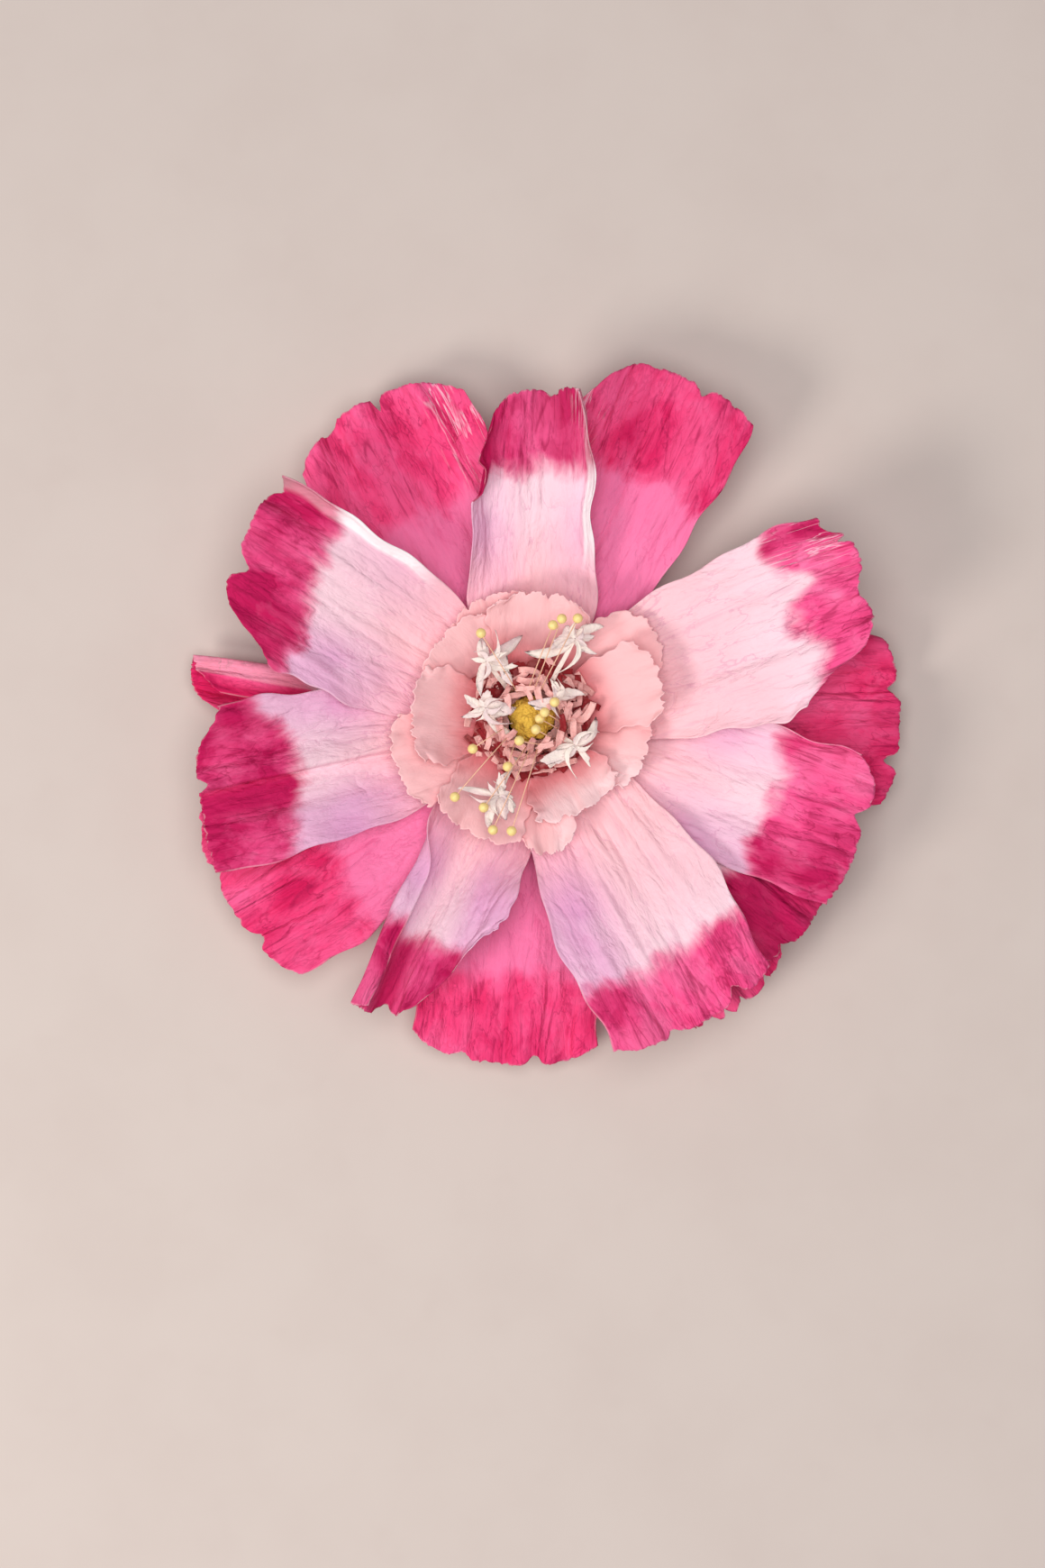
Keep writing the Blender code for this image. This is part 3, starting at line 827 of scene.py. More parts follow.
    def crumple(self, across: np.ndarray, along: np.ndarray) -> np.ndarray:
        """Gives how far the crinkled paper stands off its smooth form.

        Args:
            across: Place across the petal, -1 to 1.
            along: Share of the length outside the stack.

        Returns:
            A height for each point.
        """
        seed = self.level * 3.7 + 1.3
        width = self.half_width / TYPICAL_HALF_WIDTH
        pleats = np.abs(wrinkles(across * 3.2 * width, along * 1.3, seed)) - 0.2
        folds = np.abs(wrinkles(across * 8 * width + along * 1.4, along * 3.4, seed + 11)) - 0.2
        dents = wrinkles(across * 4 * width, along * 5 * self.reach / TYPICAL_REACH, seed + 23)
        ribs = np.abs(wrinkles(across * 13 * width + along * 1.5, along * 1.7, seed + 71)) - 0.2
        sway = 2.0 * np.sin(seed) + 2.6 * wrinkles(across * 3, along, seed + 31)
        flutter = np.sin(across * width * 8 + sway)
        grown = rise(along, 0.0, 0.30)
        swell = wrinkles(across * 1.7 * width, along * 2.2, seed + 61)
        crinkled = 1.6 * pleats + 0.8 * folds * (0.4 + along) + 1.2 * dents + 0.6 * ribs
        margin = np.abs(across) ** 5 * grown * wrinkles(along * 6, np.sign(across) * 3, seed + 47)
        return (
            self.swell * swell * along**2 + self.crinkle * grown * crinkled
            + self.frill * (flutter * along**4 + 1.3 * margin) + self._fold_lines(across, along)
        )

    def _fold_lines(self, across: np.ndarray, along: np.ndarray) -> np.ndarray:
        """Gives the height of the petal's few long folds, which start at a share of its length.

        Args:
            across: Place across the petal, -1 to 1.
            along: Share of the length outside the stack.

        Returns:
            A height for each point.
        """
        height = np.zeros_like(across)
        for place, peak, start in self.creases:
            apart = across - place - 0.05 * np.sin(along * 5 + place * 9)
            height += peak * np.exp(-np.abs(apart) / FOLD_WIDTH) * rise(along, start, 0.25)
        for place, step, start in self.pleats:
            apart = across - place
            drop = step * np.tanh(apart / PLEAT_WIDTH) * np.exp(-np.abs(apart) / PLEAT_FADE)
            height -= drop * rise(along, start, 0.3)
        return height

    def place(self, across: np.ndarray, lengthwise: np.ndarray) -> tuple[np.ndarray, dict[str, np.ndarray]]:
        """Lays the petal's points out.

        Args:
            across: Place across the petal, -1 to 1.
            lengthwise: Place from the tab's end to the tip, 0 to 1.

        Returns:
            The points, and what its paper needs to know at each point.
        """
        flat_across, distance, along = self._cut(across, lengthwise)
        side_edge = (1 - np.abs(across)) * self.half_width_at(along)
        tip_edge = (1 - along) * (self.reach - FLAT_RADIUS)
        # Painted shade over each half, growing towards its margin
        shade = rise(across, -0.1, 0.9) * self.shade_left + rise(-across, -0.1, 0.9) * self.shade_right
        folded = self._tucked(along) * rise(across, 0.60, 0.15)
        # Painted highlight on the right margin, where the light strikes it
        bright_end = self.bright_right + self.bright_span
        bright = rise(-across, self.bright_right, 0.05) - rise(-across, bright_end, 0.08)
        # Painted highlights along crease lines near each margin
        crease_glint = rise(across, self.crease_glint_left, 0.3) + rise(-across, self.crease_glint_right, 0.3)
        dyed_from = self.dyed_from + self.dye_slope * across + bells(across, self.tongues) - TUCK_DYE * folded
        facts = {
            "u": flat_across,
            "v": distance,
            "near": distance,
            "dip": distance - dyed_from,
            "edge": np.minimum(side_edge, tip_edge),
            "shade": np.clip(shade, 0, 1),
            # Painted shade and painted light from the hills, and painted shade on the tucked flap
            "strength": self.strength + bells(across, self.painted_shading) + folded,
            "bright": bright * rise(along, 0.35, 0.15),
            "crease_glint": crease_glint * rise(along, 0.55, 0.2),
        }
        sideways, upwards, lean = self.section(across, along)
        stand = self.crumple(across, along)
        sideways = sideways - np.sin(lean) * stand
        turn = math.radians(self.direction)
        x = math.cos(turn) * distance - math.sin(turn) * sideways
        y = math.sin(turn) * distance + math.cos(turn) * sideways
        z = self.bowl_height(np.hypot(x, y)) + upwards + np.cos(lean) * stand
        return np.column_stack((x, y, z)), facts

    def _cut(self, across: np.ndarray, lengthwise: np.ndarray) -> tuple[np.ndarray, np.ndarray, np.ndarray]:
        """Lays the points out on the flat cut sheet.

        Args:
            across: Place across the petal, -1 to 1.
            lengthwise: Place from the tab's end to the tip, 0 to 1.

        Returns:
            Each point's way off the midrib, its distance from the axis, and its share of the length.
        """
        outside = (lengthwise - TAB_SHARE) / (1 - TAB_SHARE)
        along = np.clip(outside, 0.0, 1.0)
        tab = -TAB_BEHIND_AXIS + lengthwise / TAB_SHARE * (FLAT_RADIUS + TAB_BEHIND_AXIS)
        distance = np.where(outside <= 0, tab, FLAT_RADIUS + along * (self.reach - FLAT_RADIUS))
        seed = self.level * 5.1
        arc = np.abs(np.sin(np.pi * self.scallops * (across + 0.37 * seed) / 2))
        scallop = SCALLOP_HEIGHT * (1 - arc**0.7) if self.scallops > 0 else 0.0
        level = np.zeros_like(across)
        waves = np.abs(wrinkles(across * 9, level, seed + 40))
        bites = np.abs(wrinkles(across * 23, level, seed + 53))
        drop = self.corner_drop * self.reach * np.abs(across) ** 3
        distance = distance + (self.slant * across - drop) * along**2
        distance -= (scallop + self.ragged * (waves + self.bitten * bites)) * along**6
        for place, depth, width in self.notches:
            sharpness = 6.0 if depth < SHALLOW_NOTCH else 2.0
            distance -= depth * np.exp(-(((across - place) / width) ** 2)) * along**sharpness
        return across * self.half_width_at(along), distance, along

    def build(self, material: bpy.types.Material, slot: Slot) -> bpy.types.Object:
        """Builds the petal from a grid.

        Args:
            material: Its paper.
            slot: Not used.

        Returns:
            The petal.
        """
        bm = bmesh.new()
        bmesh.ops.create_grid(bm, x_segments=self.columns, y_segments=self.rows, size=1.0)
        flat = np.array([vertex.co for vertex in bm.verts])
        points, facts = self.place(-flat[:, 0], (flat[:, 1] + 1) / 2)
        sheet = bm.verts.layers.float_vector.new("sheet")
        layers = {name: bm.verts.layers.float.new(name) for name in facts if name not in "uv"}
        for index, vertex in enumerate(bm.verts):
            vertex.co = points[index]
            vertex[sheet] = (facts["u"][index], facts["v"][index], self.level * 0.37)
            for name, layer in layers.items():
                vertex[layer] = facts[name][index]
        bm.normal_update()
        if sum(face.normal.z for face in bm.faces) < 0:
            bmesh.ops.reverse_faces(bm, faces=bm.faces)
        return add_piece(f"{self.name}_paper", self.name, bm, [material], PAPER)


@dataclass
class Corolla:
    """All the petals, from the back to the middle."""

    back: list[Petal] = field(default_factory=lambda: [
        Petal(
            "back_petal_1", 3, 117.5, 0.150, 0.0412, flare=1.05, ruffle_phase=0.4, curl_right=36,
            dyed_from=0.096, strength=-0.05, crease_glint_right=0.40,
            notches=((-0.09, 0.006, 0.05), (0.52, 0.003, 0.12)),
            creases=((-0.55, 0.0016, 0.5), (-0.75, 0.0016, 0.4), (0.2, -0.0012, 0.3)),
        ),
        Petal(
            "back_petal_2", 6, 67, 0.156, 0.039, flare=1.00, corner_drop=0.05, ruffle_phase=0.7, curl_left=24,
            dyed_from=0.110, strength=0.30, crease_glint_left=0.50,
            notches=((-0.36, 0.004, 0.09), (1.0, 0.022, 0.35)),
            creases=((0.55, 0.0030, 0.55), (0.1, -0.0014, 0.1), (-0.3, -0.0010, 0.5)),
        ),
        Petal(
            "back_petal_3", 2, 0, 0.155, 0.037, flare=1.00, corner_drop=0.05, ruffle=24, dyed_from=0.082,
            shade_left=0.6, shade_right=0.6, notches=((0.37, 0.004, 0.09), (-0.5, 0.006, 0.08)),
            creases=((-0.45, -0.0018, 0.4),),
        ),
        Petal(
            "back_petal_4", 5, -54, 0.149, 0.035, flare=1.00, ruffle_phase=2.9, ruffle=26, dyed_from=0.07,
            shade_left=1.0, shade_right=1.0, frill=0.0026,
            notches=((0.45, 0.003, 0.06), (0.05, 0.004, 0.05), (-0.2, 0.003, 0.04), (-0.45, 0.004, 0.05)),
        ),
        Petal(
            "back_petal_5", 1, -95, 0.146, 0.042, flare=0.95, corner_drop=0.08, ruffle_phase=0.9,
            frill=0.0020, dyed_from=0.107, strength=0.1,
            notches=((-0.44, 0.003, 0.08), (0.33, 0.0045, 0.09)),
        ),
        Petal(
            "back_petal_6", 4, 212, 0.149, 0.044, flare=0.95, corner_drop=0.07, ruffle_phase=1.7,
            dyed_from=0.104, strength=0.05, painted_shading=((-0.6, 0.5, 0.4), (0.2, 0.35, 0.15)),
            notches=((-0.38, 0.004, 0.09), (0.43, 0.004, 0.09)),
            creases=((0.25, -0.0014, 0.2), (0.6, 0.0010, 0.3)),
        ),
        Petal(
            "back_petal_7", 0, 171, 0.145, 0.019, curl_right=170, curl_from=0.10, curl_span=0.25,
            dyed_from=0.092, shade_left=0.6, strength=0.45, bright_right=0.15, bright_span=0.42,
            painted_shading=((-0.4, -1.4, 0.25), (-0.95, 0.6, 0.25), (0.5, 0.4, 0.3)),
        ),
    ])
    front: list[Petal] = field(default_factory=lambda: [
        Petal(
            "middle_petal", 7, -37, 0.144, 0.036, flare=0.90, ruffle_phase=2.2, dyed_from=0.104,
            shade_left=3.0, shade_right=3.0, strength=0.8, notches=((-0.4, 0.003, 0.10),),
        ),
        Petal(
            "front_petal_1", 11, 89.5, 0.1354, 0.0324, flare=0.42, taper=0.28, corner_drop=0.03,
            slant=-0.0028, curl_left=62, curl_right=64, curl_from=0.60, curl_span=0.14, tuck=(0.67, 0.82),
            dyed_from=0.102, shade_left=0.8, shade_right=0.5, bright_right=0.74, strength=0.42,
            painted_shading=((0.8, 0.6, 0.3), (-0.5, 0.3, 0.2)), crease_glint_right=0.5,
            notches=((-0.3, 0.003, 0.12), (1.0, 0.0127, 0.35)),
        ),
        Petal(
            "front_petal_2", 14, 20.5, 0.148, 0.0389, flare=0.62, corner_drop=0.04, slant=0.0044, ruffle=28,
            dyed_from=0.117, dye_slope=-0.002, strength=-0.30, painted_shading=((0.85, 0.8, 0.15), (0.3, -0.5, 0.35)),
            tongues=((0.36, 0.012, 0.12), (-0.43, 0.006, 0.14), (0.80, -0.004, 0.12)), crease_glint_left=0.3,
            crease_glint_right=0.6, creases=((0.66, 0.0018, 0.7), (0.35, -0.0012, 0.75)),
            notches=((0.86, 0.004, 0.06), (0.69, 0.006, 0.05), (0.05, 0.0044, 0.20), (1.0, 0.009, 0.20),
                     (-1.0, 0.030, 0.34)),
        ),
        Petal(
            "front_petal_3", 9, -19, 0.145, 0.035, flare=0.70, corner_drop=0.03, ruffle_phase=1.5,
            curl_left=58, curl_from=0.7, curl_span=0.2, dyed_from=0.104, shade_left=0.7, shade_right=0.9,
            strength=-0.2, painted_shading=((-0.8, 0.6, 0.3),), notches=((0.14, 0.005, 0.11), (0.95, 0.007, 0.22)),
            creases=((0.45, 0.0014, 0.5),),
        ),
        Petal(
            "front_petal_4", 12, -61, 0.144, 0.039, flare=0.58, corner_drop=0.05, ruffle_phase=0.6,
            dyed_from=0.112, shade_right=1.1, strength=-0.1,
            notches=((-0.31, 0.003, 0.08), (0.53, 0.006, 0.10)),
            creases=((-0.25, 0.0010, 0.1), (0.15, -0.0012, 0.1), (0.6, 0.0014, 0.7)),
        ),
        Petal(
            "front_petal_5", 8, -115, 0.138, 0.031, flare=0.60, corner_drop=0.04, slant=-0.004,
            curl_right=150, curl_from=0.62, curl_span=0.2, crease_at=-0.2, crease=28, dyed_from=0.101,
            shade_left=1.4, shade_right=1.4, strength=0.16, painted_shading=((-0.25, 0.8, 0.25), (0.7, 0.3, 0.3)),
            notches=((-0.17, 0.004, 0.10), (1.0, 0.043, 0.56)),
        ),
        Petal(
            "front_petal_6", 10, 193, 0.141, 0.035, flare=0.62, corner_drop=0.02, slant=0.003,
            ruffle_phase=2.4, pleats=((-0.02, 0.0040, 0.05),), dyed_from=0.099, shade_left=1.2,
            shade_right=0.9, strength=0.22,
            painted_shading=((0.18, 0.95, 0.20), (-0.75, 0.35, 0.2), (0.85, -0.3, 0.25)),
            tongues=((-1.05, 0.012, 0.40), (0.95, 0.009, 0.45)),
            notches=((-0.09, 0.0045, 0.06), (-0.95, 0.010, 0.30)), creases=((0.45, 0.0012, 0.6),),
        ),
        Petal(
            "front_petal_7", 13, 149.5, 0.139, 0.0378, flare=0.60, corner_drop=0.04, slant=-0.004,
            curl_right=50, curl_from=0.80, curl_span=0.08, dyed_from=0.1025, dye_slope=-0.0075,
            shade_left=1.2, shade_right=0.35, bright_right=0.80, strength=0.25,
            painted_shading=((0.65, 0.5, 0.35), (-0.15, 0.35, 0.15)),
            notches=((-0.79, 0.004, 0.07), (0.19, 0.007, 0.11), (1.0, 0.024, 0.28)),
            creases=((-0.6, -0.0016, 0.6), (0.05, 0.0010, 0.1), (0.5, -0.0012, 0.5)),
        ),
    ])
    inner_shape: Petal = Petal(
        "", 0, 0, 0.055, 0.020, flare=0.55, corner_drop=0.12, scallops=4.5, ragged=0.0030, bitten=0.2,
        edge_wave=0.06, dyed_from=0.2, swell=0.0012, crinkle=0.0002, frill=0.0010, rows=60, columns=56,
    )

    def inner(self) -> list[Petal]:
        """Gives the small petals round the middle.

        Returns:
            The petals, from the lowest up.
        """
        def small(number: int, direction: float, **sizes: float) -> Petal:
            """Gives one small petal."""
            name, level = f"inner_petal_{number:02d}", LARGE_LEVELS + number - 1
            return replace(self.inner_shape, name=name, level=level, direction=direction, **sizes)

        # Petals 4, 5 and 10 take the inner paper's lighter shade colour over their halves, as painted light
        return [
            small(1, 36, reach=0.064, half_width=0.017),
            small(2, 110),
            small(3, 200, reach=0.061),
            small(4, 278, reach=0.058, half_width=0.012, shade_left=1.5),
            small(5, 345, reach=0.051, shade_right=1.5),
            small(6, 138, reach=0.051),
            small(7, 242),
            small(8, 86, reach=0.053, half_width=0.022),
            small(9, 178, reach=0.051, half_width=0.021),
            small(10, 300, reach=0.045, shade_left=8.0, shade_right=8.0),
            small(11, 18, reach=0.057, half_width=0.018),
        ]

    def build(self) -> list[bpy.types.Object]:
        """Builds every petal.

        Returns:
            The petals.
        """
        pieces = []
        for petals, paper, slot in (
            (self.back, BACK_PAPER, Slot.BACK), (self.front, FRONT_PAPER, Slot.FRONT),
            (self.inner(), INNER_PAPER, Slot.INNER),
        ):
            material = paper.make()
            pieces += [petal.build(material, slot) for petal in petals]
        return pieces


def curve(foot: Vector, knee: Vector, end: Vector, steps: int) -> list[Vector]:
    """Gives points along the smooth bend from `foot` past `knee` to `end`."""
    shares = [index / steps for index in range(steps + 1)]
    return [foot * (1 - t) ** 2 + knee * (2 * t * (1 - t)) + end * t**2 for t in shares]


def ribbon(
    bm: bmesh.types.BMesh, path: list[Vector], half_width: float, twist: float = 0.0, point: bool = False
) -> list[bmesh.types.BMVert]:
    """Lays a strip of paper along a path, with its face up where the path is level.

    Args:
        bm: The mesh that gets the strip.
        path: Points along its middle.
        half_width: Half its width.
        twist: How far it is twisted by its end, in radians.
        point: Whether it swells and then runs out in a point.

    Returns:
        The strip's points.
    """
    steps = len(path) - 1
    made = bmesh.ops.create_grid(bm, x_segments=4, y_segments=steps, size=1.0)["verts"]
    for vertex in made:
        index = round((vertex.co.y + 1) / 2 * steps)
        share = index / steps
        ahead = (path[min(index + 1, steps)] - path[max(index - 1, 0)]).normalized()
        side = ahead.cross(Vector((0, 0, 1))).normalized()
        up = side.cross(ahead)
        turn = twist * share
        cup = 0.30 * half_width * (vertex.co.x**2 - 0.5)
        width_way = side * math.cos(turn) + up * math.sin(turn)
        face_way = up * math.cos(turn) - side * math.sin(turn)
        width = 1 - 0.15 * share**4 + 0.18 * noise.noise(path[index] * 500) * vertex.co.x
        if point:
            width *= (0.35 + 0.65 * math.sin(math.pi * min(share * 1.15, 1.0))) * (1 - 0.85 * share**5)
        vertex.co = path[index] + width_way * (vertex.co.x * half_width * width) + face_way * cup
    return made


@dataclass
class Fringe:
    """Three fringed circles of dusty pink paper, whose strips curl and cross round the pistil."""

    names: tuple[str, str, str] = ("fringe_lower", "fringe_middle", "fringe_upper")
    strips: tuple[int, int, int] = (54, 48, 42)
    knee_radius: tuple[float, float, float] = (0.0222, 0.0192, 0.0152)
    knee_climb: tuple[float, float, float] = (0.0042, 0.0068, 0.0100)
    # Share of the strips in each circle painted dark as painted shade in the gaps, more in the lower circles
    dark_share: tuple[float, float, float] = (0.60, 0.38, 0.16)
    climb_spread: tuple[float, float] = (0.65, 1.15)
    knee_spread: float = 0.0030
    swing: float = 14.0
    bend: tuple[float, float] = (55.0, 125.0)
    tail: tuple[float, float] = (0.0060, 0.0105)
    curl: float = 0.0015
    root: float = 0.001
    bulge: float = 0.3
    lift: tuple[float, float] = (-0.0010, 0.0014)
    climbing_steps: int = 5
    tail_steps: int = 7
    half_width: tuple[float, float] = (0.0011, 0.0017)
    twist: float = 0.45
    thickness: float = PAPER * 0.8
    crossing_share: float = 0.34
    crossing_height: float = PISTIL_HEIGHT + 0.0022
    crossing_radius: float = 0.0138
    crossing_fan: float = 80.0
    crossing_length: float = 0.8

    def build(self) -> list[bpy.types.Object]:
        """Builds the circles.

        Returns:
            One piece for each circle.
        """
        papers = [FRINGE_PAPER.make(), FRINGE_SHADOW_BED.make()]
        random = np.random.default_rng(7)
        pieces = []
        for number, name in enumerate(self.names):
            radius = TOP_HUB_RADIUS + (FRINGE_CIRCLES - 1 - number) * HUB_STEP
            height = seat_height(PETAL_LEVELS + number)
            bm = bmesh.new()
            tone_and_shade = bm.verts.layers.float.new("tone_and_shade")
            bmesh.ops.create_circle(bm, cap_ends=True, segments=64, radius=radius)
            bmesh.ops.translate(bm, verts=bm.verts, vec=(0, 0, height))
            hub = len(bm.faces)
            for strip in range(self.strips[number]):
                azimuth = 360 / self.strips[number] * (strip + number / 3)
                # Some strips are painted dark as painted shade in the gaps; the rest vary at random
                dark = random.uniform(0.0, 1.0) < self.dark_share[number]
                shade = random.uniform(0.8, 1.15) if dark else random.uniform(-0.25, 0.35)
                foot = polar(azimuth, radius - self.root, height + PAPER)
                for vertex in self._strip(bm, number, foot, azimuth, random):
                    vertex[tone_and_shade] = shade
            bm.faces.ensure_lookup_table()
            # The hub takes the dark bed, painted shadow under the strips
            for face in bm.faces[:hub]:
                face.material_index = 1
            pieces.append(add_piece(f"{name}_strips", name, bm, papers, self.thickness))
        return pieces

    def _strip(
        self, bm: bmesh.types.BMesh, number: int, foot: Vector, azimuth: float, random: np.random.Generator
    ) -> list[bmesh.types.BMVert]:
        """Adds one strip that climbs from its foot to a knee and bends away there.

        Args:
            bm: The circle's mesh.
            number: Which circle.
            foot: Where the strip leaves the hub.
            azimuth: Its direction from the axis, in degrees.
            random: Where its irregularities come from.

        Returns:
            The strip's points.
        """
        climb = self.knee_climb[number] * random.uniform(*self.climb_spread)
        out = self.knee_radius[number] + random.uniform(-self.knee_spread, self.knee_spread)
        bend = azimuth + random.choice((-1, 1)) * random.uniform(*self.bend)
        length = random.uniform(*self.tail)
        if number == FRINGE_CIRCLES - 1 and random.uniform(0, 1) < self.crossing_share:
            climb, out = self.crossing_height, self.crossing_radius
            bend = azimuth + 180 + random.uniform(-self.crossing_fan, self.crossing_fan)
            length *= self.crossing_length
        knee = polar(azimuth + random.uniform(-self.swing, self.swing), out, foot.z + climb)
        end = knee + polar(bend, length, random.uniform(-self.curl, self.curl))
        bulge = Vector((0, 0, climb * self.bulge))
        climbing = curve(foot, (foot + knee) / 2 + bulge, knee, self.climbing_steps)
        aside, lift = random.uniform(-self.curl, self.curl), random.uniform(*self.lift)
        tail = curve(knee, (knee + end) / 2 + polar(bend + 90, aside, lift), end, self.tail_steps)
        path = climbing[:-1] + tail
        half_width = random.uniform(*self.half_width)
        return ribbon(bm, path, half_width, random.uniform(-self.twist, self.twist))


@dataclass
class Pistil:
    """The lumpy mustard button in the middle."""

    radius: float = PISTIL_RADIUS
    height: float = PISTIL_HEIGHT
    large_lumps: float = 0.16
    small_lumps: float = 0.12
    sunk: float = 0.08

    def build(self) -> bpy.types.Object:
        """Builds the button.

        Returns:
            The pistil.
        """
        base = hub_top() + GLUE_GAP
        bm = bmesh.new()
        bmesh.ops.create_uvsphere(bm, u_segments=64, v_segments=40, radius=1.0)
        for vertex in bm.verts:
            way = vertex.co.copy()
            large, small = noise.noise(way * 2.3), abs(noise.noise(way * 5.3))
            lump = 1 + self.large_lumps * large + self.small_lumps * small - self.sunk
            vertex.co = Vector((
                way.x * self.radius * lump, way.y * self.radius * lump,
                base + max(way.z, 0.0) * self.height * lump,
            ))
        bmesh.ops.remove_doubles(bm, verts=bm.verts, dist=WELD)
        bmesh.ops.recalc_face_normals(bm, faces=bm.faces)
        return add_piece("pistil_paper_button", "pistil", bm, [PISTIL_PAPER.make()])


@dataclass(frozen=True)
class Stamen:
    """A stiff thread with a bead: where it stands on the hub, and where its bead ends up above the hub."""

    foot_azimuth: float
    bead_azimuth: float
    bead_radius: float
    bead_height: float = 0.023


@dataclass
class Stamens:
    """The bead-tipped threads."""

    thread_radius: float = 0.00024
    thread_sides: int = 6
    thread_steps: int = 20
    stiffness: float = 0.001
    arch: float = 0.36
    bead_size: float = 0.0021
    bead_lumps: float = 0.03
    stamens: tuple[Stamen, ...] = (
        Stamen(119, 121, 0.0405), Stamen(96, 77, 0.0390), Stamen(84, 73, 0.0425), Stamen(72, 65, 0.0450),
        Stamen(10, 34, 0.0115, 0.0185), Stamen(-8, 22, 0.0058, 0.0185), Stamen(-22, -7, 0.0034, 0.0150),
        Stamen(-44, -70, 0.0052, 0.0185), Stamen(-66, -118, 0.0108, 0.0180), Stamen(200, 208, 0.0275, 0.0215),
        Stamen(236, 244, 0.0225, 0.0200), Stamen(218, 226, 0.0455), Stamen(260, 242, 0.0420),
        Stamen(268, 251, 0.0490), Stamen(284, 260, 0.0475),
    )

    def build(self) -> list[bpy.types.Object]:
        """Builds the stamens.

        Returns:
            One piece for each.
        """
        thread, bead = THREAD.make(), BEAD.make()
        pieces = []
        for number, stamen in enumerate(self.stamens, start=1):
            bm = bmesh.new()
            foot = polar(stamen.foot_azimuth, STAMEN_RING, hub_top() + GLUE_GAP)
            head = polar(stamen.bead_azimuth, stamen.bead_radius, hub_top() + stamen.bead_height)
            climb = stamen.bead_height + self.arch * max(stamen.bead_radius - STAMEN_RING, 0.0)
            bend = foot + polar(stamen.foot_azimuth, self.stiffness, climb)
            self._thread(bm, foot, bend, head)
            first_face = len(bm.faces)
            made = bmesh.ops.create_uvsphere(bm, u_segments=24, v_segments=16, radius=self.bead_size)
            for vertex in made["verts"]:
                lump = noise.noise(vertex.co * 700 + Vector((number, 0, 0)))
                vertex.co *= 1 + self.bead_lumps * lump
            bmesh.ops.translate(bm, verts=made["verts"], vec=head)
            bm.faces.ensure_lookup_table()
            for face in bm.faces[first_face:]:
                face.material_index = 1
            node = f"stamen_{number:02d}"
            pieces.append(add_piece(f"{node}_thread_and_bead", node, bm, [thread, bead]))
        return pieces

    def _thread(self, bm: bmesh.types.BMesh, foot: Vector, bend: Vector, head: Vector) -> None:
        """Extrudes a small circle along the thread's arc and closes its ends.

        Args:
            bm: The stamen's mesh.
            foot: Where the thread stands.
            bend: Where it would go if it stayed stiff, which bends the arc.
            head: The middle of its bead.
        """
        sides, radius = self.thread_sides, self.thread_radius
        ring = bmesh.ops.create_circle(bm, cap_ends=True, segments=sides, radius=radius)["verts"]
        shape = [vertex.co.copy() for vertex in ring]
        bmesh.ops.translate(bm, verts=ring, vec=foot)
        base = bm.faces[:][0]
        if base.normal.z > 0:
            bmesh.ops.reverse_faces(bm, faces=[base])
        edges = list(base.edges)
        for step, middle in enumerate(curve(foot, bend, head, self.thread_steps)[1:], start=1):
            share = step / self.thread_steps
            ahead = ((bend - foot) * (1 - share) + (head - bend) * share).normalized()
            turn = Vector((0, 0, 1)).rotation_difference(ahead)
            made = bmesh.ops.extrude_edge_only(bm, edges=edges)["geom"]
            fresh = [part for part in made if isinstance(part, bmesh.types.BMVert)]
            edges = [
                part for part in made
                if isinstance(part, bmesh.types.BMEdge) and part.verts[0] in fresh and part.verts[1] in fresh
            ]
            pairs = {}
            for vertex in fresh:
                linked = [edge.other_vert(vertex) for edge in vertex.link_edges]
                pairs[vertex] = shape[ring.index(next(other for other in linked if other in ring))]
            ring, shape = list(pairs), list(pairs.values())
            for vertex, offset in pairs.items():
                vertex.co = middle + turn @ offset
        bmesh.ops.holes_fill(bm, edges=edges)
        bmesh.ops.recalc_face_normals(bm, faces=bm.faces)


@dataclass(frozen=True)
class Tuft:
    """A white tissue tuft: where it stands, how high, and the azimuth and length of each of its limbs."""

    azimuth: float
    radius: float
    height: float
    limbs: tuple[tuple[float, float], ...]


